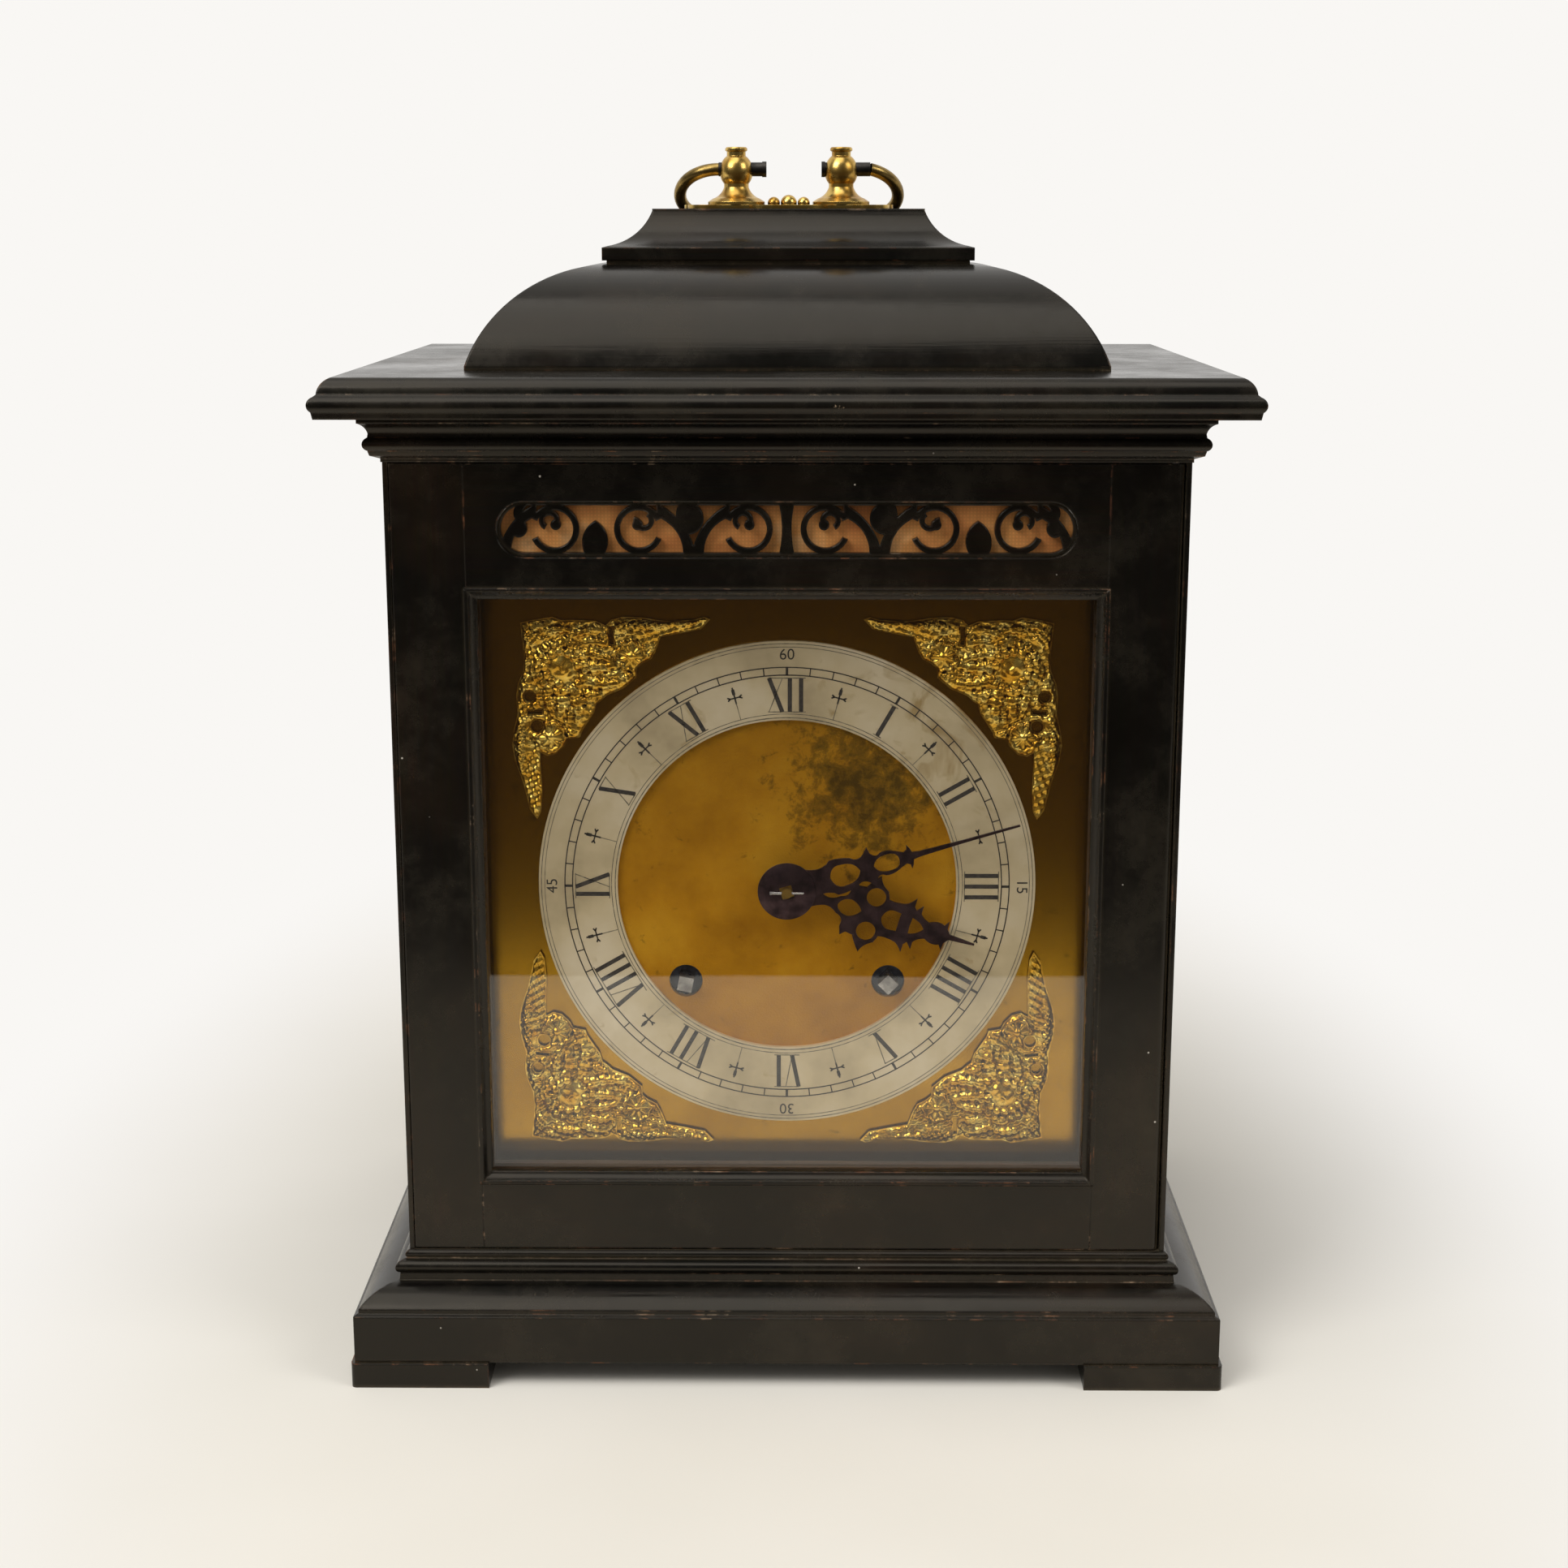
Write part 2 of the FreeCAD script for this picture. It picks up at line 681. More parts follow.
def moulded_block(name, profile, keep=True):
    """A block with the same moulding on all four sides; the profile gives (reach, height), upwards."""

    def bar(plane, half, axis, length):
        right = [[half + point[0], *point[1:]] for point in profile]
        left = []
        for number in range(len(profile) - 1, -1, -1):
            point = profile[number]
            bend = profile[number - 1][2:] if number else ()
            left.append([-(half + point[0]), point[1], *bend])
        section = outline(f"{name}_{plane}_profile", plane, (0, 0, 0), right + left)
        return raised(f"{name}_{plane}_bar", section, axis, length)

    long = bar("XZ", half_width, "Y", 2 * (half_depth + 30))
    wide = bar("YZ", half_depth, "X", 2 * (half_width + 30))
    body = common(name + "_body", long, wide)
    return subpart(name, body) if keep else body


# ------------------------------------------------------------------ doors
def door_pins(name, at, stile):
    """A door's two pivot pins, and its hinge stile with holes for them."""
    reach = cells.door_pin_depth
    ends = ((door_bottom - reach + 0.6, door_bottom + reach), (door_top - reach, door_top + reach - 0.6))
    pins = [rod(f"{name}_{n}", "Z", cells.door_pin_radius, end, at) for n, end in enumerate(ends)]
    holes = [
        rod(f"{name}_hole_{n}", "Z", cells.door_pin_radius, end, at)
        for n, end in enumerate(
            ((door_bottom - 1, door_bottom + reach), (door_top - reach, door_top + 1))
        )
    ]
    return pins, cut(f"{name}_bored", stile, *holes)


def hinge_stile(name, sign, inner):
    """A stile with its outer edge rounded about the pivot: sign 1 at +X in front, -1 at -X behind."""
    corner, edge = cells.door_round, door_half
    outside, inside = -half_depth, cells.door_thick - half_depth
    points = [
        (inner, inside),
        (inner, outside),
        (edge - corner, outside, corner),
        (edge, outside + corner),
        (edge, inside),
    ]
    if sign < 0:
        points = [(-p[0], -p[1], *p[2:]) for p in points]
    plan = outline(name + "_plan", "XY", (0, 0, (door_bottom + door_top) / 2), points)
    return raised(name + "_solid", plan, "Z", door_top - door_bottom)


def slot_shape(name, inset, depths):
    """A bar with round ends, as the fret slot, smaller by an inset."""
    radius = (slot_top - slot_bottom) / 2 - inset
    middle = (slot_top + slot_bottom) / 2
    side = cells.slot_half - inset - radius
    straight = box(f"{name}_straight", (-side, side), depths, (middle - radius, middle + radius))
    ends = [
        rod(f"{name}_end_{n}", "Y", radius, depths, (x, middle)) for n, x in enumerate((-side, side))
    ]
    return fuse(f"{name}_slot", straight, *ends)


def front_door():
    """Frame, moulding, glass, beading, fret and silk."""
    face, back = -half_depth, door_back
    depths = (face, back)
    pins, bored = door_pins("front_door_pin", (hinge_x, -hinge_y), hinge_stile("door_stile_right", 1, frame_half))
    subpart("door_stile_right", bored)
    subpart("door_pivots", group("door_pivots_group", pins))
    left = box("door_stile_left_solid", (-door_half, -frame_half), depths, (door_bottom, door_top))
    subpart("door_stile_left", left)
    low = box("door_rail_bottom_solid", (-frame_half, frame_half), depths, (door_bottom, frame_low))
    subpart("door_rail_bottom", low)
    top = box("door_rail_top_blank", (-frame_half, frame_half), depths, (frame_high, door_top))
    slot = slot_shape("door_rail", 0, (face - 1, back + 1))
    subpart("door_rail_top", cut("door_rail_top_body", top, slot))
    glass_front = face + cells.glass_depth
    glass_back = glass_front + cells.glass_thick
    edge = cells.fit
    glass = box(
        "door_glass_body",
        (-frame_half + edge, frame_half - edge),
        (glass_front, glass_back),
        (frame_low + edge, frame_high - edge),
    )
    subpart("door_glass", glass)
    sight_moulding(face, glass_front)
    beading(glass_back, back)
    fret_front = face + cells.fret_depth
    fret_back = fret_front + cells.fret_thick
    subpart("fret_silk", slot_shape("fret_silk", cells.fit, (fret_back, fret_back + cells.silk_thick)))
    subpart("sound_fret", fret((float(fret_front), float(fret_back))))


def sight_strips(name, profile, depth_middle, depth_span):
    """Four mitred strips round the glass; the profile gives (distance outside the sight, place in y)."""
    middle = (sight_low + sight_high) / 2
    tall = (sight_high - sight_low) / 2
    reach = cells.glass_seat + cells.moulding_flange
    pieces = []
    side_points = [(cells.sight_half + p[0], p[1], *p[2:]) for p in profile]
    section = outline(name + "_side_profile", "XY", (0, 0, middle), side_points)
    bar = raised(name + "_side_bar", section, "Z", 2 * (tall + reach))
    near, far = cells.sight_half, cells.sight_half + reach
    wedge_points = [(near, -tall), (far, -tall - reach), (far, tall + reach), (near, tall)]
    wedge = outline(name + "_side_mitre", "XZ", (0, depth_middle, middle), wedge_points)
    side = common(name + "_side", bar, raised(name + "_side_wedge", wedge, "Y", depth_span))
    pieces += [side, mirrored(name + "_side_left", side, "X")]
    for label, sign in (("top", 1), ("bottom", -1)):
        edge_z = middle + tall * sign
        points = [(p[1], edge_z + p[0] * sign, *[dim(r) * -sign for r in p[2:]]) for p in profile]
        section = outline(f"{name}_{label}_profile", "YZ", (0, 0, 0), points)
        bar = raised(f"{name}_{label}_bar", section, "X", 2 * (cells.sight_half + reach))
        wedge_points = [
            (-near, tall * sign),
            (-far, (tall + reach) * sign),
            (far, (tall + reach) * sign),
            (near, tall * sign),
        ]
        wedge = outline(f"{name}_{label}_mitre", "XZ", (0, depth_middle, middle), wedge_points)
        pieces.append(
            common(f"{name}_{label}", bar, raised(f"{name}_{label}_wedge", wedge, "Y", depth_span))
        )
    return subpart(name, group(name + "_group", pieces))


def sight_moulding(face, glass_front):
    """The small moulding that holds the glass from the front."""
    proud = face - cells.moulding_proud
    seat, flange = cells.glass_seat, cells.moulding_flange
    profile = [
        (0, glass_front),
        (0, face + 1.6, -4.0),
        (seat - 0.6, proud),
        (seat + flange, proud),
        (seat + flange, face),
        (seat - 0.02, face),
        (seat - 0.02, glass_front),
    ]
    sight_strips("sight_moulding", profile, (face + glass_front) / 2, 20)


def beading(glass_back, back):
    """Square beads that hold the glass from behind."""
    seat = cells.glass_seat
    profile = [(0.3, glass_back), (seat - 0.02, glass_back), (seat - 0.02, back), (0.3, back)]
    sight_strips("glass_beading", profile, (glass_back + back) / 2, 20)


def band(centre, radius, width, start, stop, depths):
    """A flat ring sector in an XZ plane; angles in degrees from +X towards +Z."""
    y = depths[0]
    middle = V(centre[0], y, centre[1])

    def point(r, angle):
        turn = math.radians(angle)
        return middle + V(r * math.cos(turn), 0, r * math.sin(turn))

    outer, inner, half = radius + width / 2, radius - width / 2, (start + stop) / 2
    if stop - start >= 359.9:
        rim = [Part.Wire(Part.makeCircle(r, middle, V(0, 1, 0))) for r in (outer, inner)]
        face = Part.Face(rim)
    else:
        edges = [
            Part.Arc(point(outer, start), point(outer, half), point(outer, stop)).toShape(),
            Part.makeLine(point(outer, stop), point(inner, stop)),
            Part.Arc(point(inner, stop), point(inner, half), point(inner, start)).toShape(),
            Part.makeLine(point(inner, start), point(outer, start)),
        ]
        face = Part.Face(Part.Wire(edges))
    return face.extrude(V(0, depths[1] - depths[0], 0))


def disc(centre, radius, depths):
    """A flat disc in an XZ plane."""
    return Part.makeCylinder(radius, depths[1] - depths[0], V(centre[0], depths[0], centre[1]), V(0, 1, 0))


def leaf(points, depths):
    """A flat shape in an XZ plane through points; a three-number point bends the way there through it."""
    edges, last, bend = [], None, None
    for point in list(points) + [points[0]]:
        here = V(point[0], depths[0], point[1])
        if len(point) == 3:
            bend = here
            continue
        if last is not None:
            edges.append(Part.Arc(last, bend, here).toShape() if bend else Part.makeLine(last, here))
        last, bend = here, None
    face = Part.Face(Part.Wire(edges))
    return face.extrude(V(0, depths[1] - depths[0], 0))


def flipped(shape):
    """The mirror image across x = 0."""
    return shape.mirror(V(), V(1, 0, 0))


def fret(depths):
    """Pierced panel of mirrored scrolls in the slot's outline."""
    middle = float(slot_top + slot_bottom) / 2
    rise = float(slot_top - slot_bottom) / 2 - float(cells.fit)
    side = float(cells.slot_half - cells.fit) - rise
    length = depths[1] - depths[0]

    def stadium(radius):
        bar = Part.makeBox(2 * side, length, 2 * radius, V(-side, depths[0], middle - radius))
        for x in (-side, side):
            bar = bar.fuse(disc((x, middle), radius, depths))
        return bar

    border = stadium(rise).cut(stadium(rise - 1.0))
    scrolls = []
    for centre, facing in ((11.0, 1), (42.0, -1), (66.0, 1)):
        turn = 90 - 90 * facing
        scrolls += [
            band((centre, middle), 6.2, 1.7, turn + 25, turn + 335, depths),
            band((centre + 1.4 * facing, middle + 2.4), 2.2, 1.5, turn - 60, turn + 200, depths),
            disc((centre - 0.4 * facing, middle + 1.2), 1.5, depths),
        ]
        tail = centre + 12.5 * facing
        scrolls.append(
            leaf(
                [
                    (centre + 5.2 * facing, middle + 3.4),
                    (centre + 9.0 * facing, middle + 1.2, 0),
                    (tail, middle - rise + 0.4),
                    (tail + 3.6 * facing, middle - rise + 0.4),
                    (centre + 11.0 * facing, middle + 3.0, 0),
                    (centre + 5.0 * facing, middle + rise - 0.4),
                ],
                depths,
            )
        )
    leaves = [
        leaf([(26.5, middle + rise - 0.5), (24.0, middle + 1.0, 0), (28.2, middle - 1.6),
              (31.0, middle + 1.6, 0), (30.5, middle + rise - 0.5)], depths),
        leaf([(52.0, middle - rise + 0.5), (51.0, middle - 2.0, 0), (54.4, middle + 2.4),
              (57.6, middle - 1.0, 0), (57.4, middle - rise + 0.5)], depths),
        leaf([(-2.2, middle + rise - 0.5), (-1.4, middle, 0), (-2.2, middle - rise + 0.5),
              (2.2, middle - rise + 0.5), (1.4, middle, 0), (2.2, middle + rise - 0.5)], depths),
        disc((side + 1.6, middle), 2.4, depths),
        leaf([(side + 1.0, middle + 1.6), (side + 3.0, middle + 4.4, 0), (side + 1.2, middle + rise - 0.4),
              (side - 2.6, middle + rise - 0.4), (side + 0.4, middle + 4.6, 0), (side - 0.8, middle + 1.2)],
             depths),
    ]
    half = scrolls + leaves
    whole = border.multiFuse(half + [flipped(shape) for shape in half])
    inside = stadium(rise)
    return fixed("sound_fret_body", whole.common(inside).removeSplitter())


def back_door():
    """Frame of two stiles and two rails, glass, pivots turned on the frame, and a turn catch."""
    inside, face = half_depth - cells.door_thick, half_depth
    depths = (inside, face)
    width = cells.back_stile
    sight = door_half - width
    pins, bored = door_pins("back_door_pin", (-hinge_x, hinge_y), hinge_stile("back_stile", -1, sight))
    hinge = fuse("back_door_hinge_stile", bored, *pins)
    free = box("back_door_free_stile", (sight, door_half), depths, (door_bottom, door_top))
    catch_hole = rod("back_catch_hole", "Y", 2.0 + cells.running, (inside - 1, face + 1),
                     (half_width - cells.latch_inset, cells.latch_height))
    rails = [
        box(f"back_door_rail_{n}", (-sight, sight), depths, ends)
        for n, ends in enumerate(((door_bottom, door_bottom + width), (door_top - width, door_top)))
    ]
    rebate = box("back_door_rebate", (-sight - 4, sight + 4), (inside - 1, inside + 4.0),
                 (door_bottom + width - 4, door_top - width + 4))
    pieces = [
        cut("back_door_stile_a", hinge, rebate),
        cut("back_door_stile_b", free, rebate, catch_hole),
        cut("back_door_rail_a", rails[0], rebate),
        cut("back_door_rail_b", rails[1], rebate),
    ]
    subpart("back_door_frame", group("back_door_frame_group", pieces))
    glass = box("back_door_glass_body", (-sight - 3.9, sight + 3.9), (inside + 2, inside + 4.0),
                (door_bottom + width - 3.9, door_top - width + 3.9))
    subpart("back_door_glass", glass)
    tongue = latch_tongue()
    at = (half_width - cells.latch_inset, cells.latch_height)
    spindle = rod("catch_spindle", "Y", 2.0, (tongue[0], face + 4), at)
    washer = rod("catch_collar", "Y", 3.6, (face + 0.3, face + 1.6), at)
    bar = box("catch_tongue", (at[0] - 2.5, at[0] + 2.5), tongue,
              (at[1] - 3.5, at[1] + cells.latch_reach))
    knob = turned("catch_knob", "Y", (at[0], 0, at[1]),
                  [(0, face + 3), (2.6, face + 3), (3.0, face + 4.5, -9.0), (5.4, face + 9.5, 2.6),
                   (3.4, face + 12.2), (0, face + 12.6)])
    subpart("back_catch", fuse("back_catch_body", spindle, washer, bar, knob))



# ------------------------------------------------------------------ dial
def winding_spots():
    """Where the winding arbors stand: right for going, left for striking."""
    return ((cells.wind_side, wind_z), (-cells.wind_side, wind_z))


def foot_spots():
    """Where the dial feet stand."""
    low, high = dial_z - cells.dial_foot_drop, dial_z + cells.dial_foot_rise
    side = cells.dial_foot_side
    return ((side, low), (-side, low), (side, high), (-side, high))


def dial():
    """Mask frame, plate with feet, chapter ring and spandrels."""
    mask = (mask_front, plate_front)
    low, high = dial_z - cells.mask_half, dial_z + cells.mask_half
    inner, opening = inner_half, cells.mask_half
    strips = [
        box("mask_left", (-inner, -opening), mask, (cells.body_bottom, cells.body_top)),
        box("mask_right", (opening, inner), mask, (cells.body_bottom, cells.body_top)),
        box("mask_bottom", (-opening, opening), mask, (cells.body_bottom, low)),
        box("mask_top", (-opening, opening), mask, (high, high + cells.mask_top_height)),
    ]
    subpart("dial_mask", group("dial_mask_group", strips))
    half = cells.dial_half
    plate = box("dial_plate_blank", (-half, half), (plate_front, plate_back), (dial_z - half, dial_z + half))
    feet = []
    for number, at in enumerate(foot_spots()):
        shank = rod(f"dial_foot_{number}", "Y", cells.dial_foot_radius, (plate_front + 0.5, front_plate[0]), at)
        tenon = rod(f"dial_tenon_{number}", "Y", cells.dial_foot_radius / 2,
                    (front_plate[0] - 1, front_plate[1] + 0.6), at)
        feet += [shank, tenon]
    whole = fuse("dial_plate_feet", plate, *feet)
    holes = [
        rod(f"winding_hole_{n}", "Y", cells.wind_hole_radius, (plate_front - 1, plate_back + 1), at)
        for n, at in enumerate(winding_spots())
    ]
    holes.append(rod("centre_hole", "Y", cells.dial_hole_radius, (plate_front - 1, plate_back + 1), (0, dial_z)))
    subpart("dial_plate", cut("dial_plate_body", whole, *holes))
    ring = (plate_front - cells.ring_thick, plate_front)
    outer = rod("chapter_ring_blank", "Y", cells.ring_outer, ring, (0, dial_z))
    inner_cut = rod("chapter_ring_bore", "Y", cells.ring_inner, (ring[0] - 1, ring[1] + 1), (0, dial_z))
    subpart("chapter_ring", cut("chapter_ring_body", outer, inner_cut))
    spandrels()


def spandrel_shape():
    """A pierced casting in one corner: the corner is the origin and its wings run along +X and +Z."""
    thick = float(cells.spandrel_thick)
    proud = float(cells.spandrel_relief)
    silhouette = [
        (2.4, 0.8), (5.8, 0.1), (11.7, -0.9), (14.4, 0.1), (18.0, 0.0), (24.3, 0.3), (27.3, 1.6),
        (28.9, 0.0), (32.1, -0.9), (37.9, -0.7), (43.8, 0.2), (50.6, 0.7), (56.0, -0.9), (57.8, -0.2),
        (55.1, 2.7), (49.2, 3.9), (43.3, 5.0), (42.1, 8.3), (40.5, 11.5), (37.8, 12.9), (36.2, 14.3),
        (36.1, 17.0), (32.2, 20.3), (27.2, 22.4), (25.5, 24.0), (24.2, 24.9), (23.4, 27.7),
        (21.5, 30.5), (19.7, 33.3), (19.2, 34.9), (15.5, 35.6), (14.6, 37.5), (12.2, 39.9),
        (9.5, 40.6), (7.4, 39.4), (7.5, 44.1), (7.8, 51.1), (7.3, 57.3), (6.1, 59.7), (4.0, 56.8),
        (2.2, 48.8), (-0.2, 41.8), (-0.8, 37.1), (-0.2, 32.4), (1.0, 27.7), (0.7, 22.6), (1.3, 18.9),
        (2.9, 15.2), (3.3, 10.6), (2.7, 4.6),
    ]
    solid = leaf(silhouette, (-thick, 0.0))
    deep = (-thick - 1, 1.0)
    for opening in (
        disc((4.6, 22.8), 1.5, deep),
        disc((6.6, 31.6), 1.8, deep),
        leaf([(4.0, 27.0), (8.2, 26.6), (8.2, 27.8), (4.0, 28.0)], deep),
        leaf([(28.2, 2.0), (29.4, 2.0), (29.6, 7.2), (28.4, 7.2)], deep),
    ):
        solid = solid.cut(opening)
    # bosses: (x, z, radius on the flat); ridges: (x, z, width at the start, x, z, width at the end)
    bosses = [
        (14.6, 14.6, 6.6), (7.4, 8.0, 2.6), (12.8, 5.6, 2.4), (19.6, 7.6, 2.2), (24.6, 5.4, 1.9),
        (34.2, 5.0, 3.2), (39.8, 8.6, 2.0), (25.0, 15.6, 2.6), (31.4, 14.2, 2.6), (22.4, 21.2, 2.2),
        (8.8, 19.8, 2.4), (13.2, 24.6, 2.6), (19.0, 28.4, 2.2), (12.2, 31.8, 2.8), (9.6, 37.2, 2.4),
    ]
    ridges = [
        (35.0, 3.0, 2.0, 56.0, 0.6, 0.9), (30.6, 9.6, 1.6, 37.0, 11.6, 1.1), (16.0, 20.0, 1.5, 28.0, 18.8, 1.0),
        (3.0, 34.0, 1.7, 5.8, 57.4, 1.0), (5.6, 38.0, 1.3, 6.4, 50.0, 0.8), (19.4, 10.6, 1.5, 30.0, 10.4, 1.0),
    ]
    window = Part.makeBox(70, proud, 70, V(-5, -proud, -5))
    for x, z, radius in bosses:
        rise = min(proud - thick, radius * 0.8)
        ball = (radius * radius + rise * rise) / (2 * rise)
        solid = solid.fuse(Part.makeSphere(ball, V(x, ball - thick - rise, z)).common(window))
    for x, z, width, end_x, end_z, end_width in ridges:
        run = V(end_x - x, 0, end_z - z)
        cone = Part.makeCone(width, end_width, run.Length, V(x, 0.23 - thick, z), run)
        solid = solid.fuse(cone.common(window))
    return solid.removeSplitter()


def spandrels():
    """Four castings, mirrored from one."""
    margin = float(cells.dial_half - cells.spandrel_margin)
    centre = float(dial_z)
    one = spandrel_shape()
    for name, sx, sz in (
        ("top_left", -1, 1),
        ("top_right", 1, 1),
        ("bottom_left", -1, -1),
        ("bottom_right", 1, -1),
    ):
        shape = one.copy()
        if sx > 0:
            shape = shape.mirror(V(), V(1, 0, 0))
        if sz > 0:
            shape = shape.mirror(V(), V(0, 0, 1))
        thing = fixed(f"spandrel_{name}_body", shape)
        thing.Placement.Base = V(margin * sx, float(plate_front), centre + margin * sz)
        subpart(f"spandrel_{name}", thing)


# ------------------------------------------------------------------ hands
def clock_turn(shape, angle):
    """Turns a hand that points to twelve clockwise about the dial's centre."""
    shape.rotate(V(0, 0, float(dial_z)), V(0, 1, 0), angle)
    return shape


def hand_shape(halves, openings, depths):
    """A flat hand that points to twelve: its right half mirrored, less the openings."""
    both = [*halves, *[flipped(shape) for shape in halves]]
    whole = both[0].multiFuse(both[1:]).removeSplitter()
    for shape in openings:
        whole = whole.cut(shape).cut(flipped(shape))
    whole = whole.removeSplitter()
    whole.translate(V(0, 0, float(dial_z)))
    return whole


def minute_hand():
    """Pierced hand with two open loops, two pairs of spurs and a long pointer."""
    depths = (float(front + cells.minute_hand_depth), float(front + cells.minute_hand_depth + cells.hand_thick))
    deep = (depths[0] - 1, depths[1] + 2)
    tip = float(cells.minute_reach)
    half = leaf(
        [
            (0, 0), (4.6, 0), (4.0, 3.6), (1.6, 6.0), (1.3, 11.2),
            (5.3, 16.8, 0), (2.0, 22.8), (3.2, 24.4), (6.0, 25.6), (3.6, 26.6), (2.0, 28.0),
            (4.8, 32.0, 0), (1.9, 35.8), (2.6, 37.4), (4.8, 39.4), (2.0, 39.4), (1.0, 41.6),
            (0.35, tip), (0, tip),
        ],
        depths,
    )
    openings = [
        leaf([(0, 13.0), (3.7, 17.2, 0), (0, 21.8), (-3.7, 17.2, 0)], deep),
        leaf([(0, 28.8), (3.3, 32.0, 0), (0, 35.2), (-3.3, 32.0, 0)], deep),
    ]
    hand = hand_shape([half, disc((0, 0), 5.4, depths)], openings, depths)
    square = float(cells.cannon_square + 2 * cells.fit)
    hole = Part.makeBox(square, 3, square, V(-square / 2, depths[0] - 1, -square / 2 + float(dial_z)))
    hand = clock_turn(hand.cut(hole), float(cells.minute_angle))
    subpart("minute_hand", fixed("minute_hand_body", hand))


def hour_hand():
    """Pierced hand with a pair of rings in the middle and a leaf-shaped point."""
    depths = (float(front + cells.hour_hand_depth), float(front + cells.hour_hand_depth + cells.hand_thick))
    deep = (depths[0] - 1, depths[1] + 2)
    tip = float(cells.hour_reach)
    ring = (5.4, 27.2)
    halves = [
        leaf(
            [
                (0, 0), (6.6, 0), (5.4, 3.8), (2.2, 7.0), (1.9, 11.4),
                (6.4, 17.4, 0), (2.4, 22.4), (3.4, 24.0), (3.4, 30.4), (2.6, 33.2), (5.6, 34.0),
                (9.4, 37.8), (5.4, 37.0), (6.6, 40.8, 0), (3.0, 43.4), (5.4, 46.6, 0), (1.3, 52.0),
                (0.5, tip), (0, tip),
            ],
            depths,
        ),
        disc((0, 0), 6.6, depths),
        disc(ring, 4.1, depths),
        leaf([(8.2, 25.2), (11.8, 22.6), (9.4, 27.0)], depths),
        leaf([(9.0, 28.4), (11.2, 32.4), (7.0, 30.8)], depths),
    ]
    openings = [
        disc(ring, 2.6, deep),
        leaf([(0, 13.4), (4.5, 17.6, 0), (0, 21.4), (-4.5, 17.6, 0)], deep),
        leaf([(0, 37.8), (4.0, 40.2, 0), (0, 42.6), (-4.0, 40.2, 0)], deep),
        disc((0, 35.2), 0.9, deep),
    ]
    hand = hand_shape(halves, openings, depths)
    radius = float(cells.hour_pipe_radius)
    bore = Part.makeCylinder(radius, 4, V(0, depths[0] - 2, float(dial_z)), V(0, 1, 0))
    hand = clock_turn(hand.cut(bore), float(cells.hour_angle))
    subpart("hour_hand", fixed("hour_hand_body", hand))


def collet_and_pin():
    """Domed collet in front of the minute hand, and the taper pin that holds it."""
    back = front + cells.minute_hand_depth
    edge = back - cells.collet_thick
    dome = turned(
        "collet_dome",
        "Y",
        (0, 0, dial_z),
        [(0, edge), (3.0, edge, 30.0), (cells.collet_radius, back - 0.5), (cells.collet_radius, back), (0, back)],
    )
    half = cells.cannon_square / 2 + cells.fit
    square = box("collet_square", (-half, half), (edge - 1, back + 1), (dial_z - half, dial_z + half))
    square = spin(square, cells.minute_angle)
    subpart("hand_collet", cut("hand_collet_body", dome, square))
    pin_y = edge - 0.1 - cells.pin_radius
    pin = doc.addObject("Part::Cone", "hand_pin_body")
    bind(pin, "Radius1", cells.pin_radius)
    bind(pin, "Radius2", cells.pin_radius * 0.7)
    bind(pin, "Height", cells.pin_length)
    place(pin, (-(cells.pin_length / 2), pin_y, dial_z), STAND["X"])
    subpart("hand_pin", pin)
    return pin_y


def spin(thing, angle):
    """Turns a thing that is drawn upright clockwise about the dial's centre line."""
    wrapper = doc.addObject("Part::Compound", thing.Name + "_spun")
    wrapper.Links = [thing]
    bind(wrapper, "Placement.Rotation.Angle", angle)
    wrapper.Placement.Rotation.Axis = V(0, 1, 0)
    turn = math.radians(float(angle))
    # the row's origin, turned about the dial's centre
    place(wrapper, (-float(dial_z) * math.sin(turn), 0, float(dial_z) * (1 - math.cos(turn))))
    return wrapper


# ------------------------------------------------------------------ handle
def handle():
    """Cast plate, two turned posts, two pivots, and the folding handle."""
    top = cap_top
    plate_top = top + cells.handle_plate_thick
    thick = (top + plate_top) / 2
    plan = outline(
        "handle_plate_plan",
        "XY",
        (0, 0, thick),
        [
            (-31.0, -2.0, 7.0), (-22.0, -8.6), (-12.0, -8.6, -7.0), (-5.0, -5.0), (5.0, -5.0, -7.0),
            (12.0, -8.6), (22.0, -8.6, 7.0), (31.0, -2.0, 2.4), (31.0, 2.0, 7.0), (22.0, 8.6),
            (12.0, 8.6, -7.0), (5.0, 5.0), (-5.0, 5.0, -7.0), (-12.0, 8.6), (-22.0, 8.6, 7.0),
            (-31.0, 2.0, 2.4),
        ],
    )
    flat = raised("handle_plate_flat", plan, "Z", cells.handle_plate_thick)
    beads = []
    for number, (x, radius) in enumerate(((-4.6, 1.9), (0, 2.5), (4.6, 1.9))):
        ball = doc.addObject("Part::Sphere", f"handle_bead_{number}")
        bind(ball, "Radius", radius)
        place(ball, (x, 0, plate_top + 0.5))
        beads.append(ball)
    above = box("handle_bead_room", (-10, 10), (-10, 10), (top, top + 12))
    boss = common("handle_boss", fuse("handle_beads", *beads), above)
    tails = [
        rod(f"handle_plate_hole_{n}", "Z", cells.post_neck_radius - 1.4, (top - 1, plate_top + 1), (x, 0))
        for n, x in enumerate((-cells.post_side, cells.post_side))
    ]
    subpart("handle_plate", cut("handle_plate_body", fuse("handle_plate_whole", flat, boss), *tails))
    posts = [handle_post(f"handle_post_{n}", x) for n, x in enumerate((-cells.post_side, cells.post_side))]
    subpart("handle_posts", group("handle_posts_group", posts))
    bail()


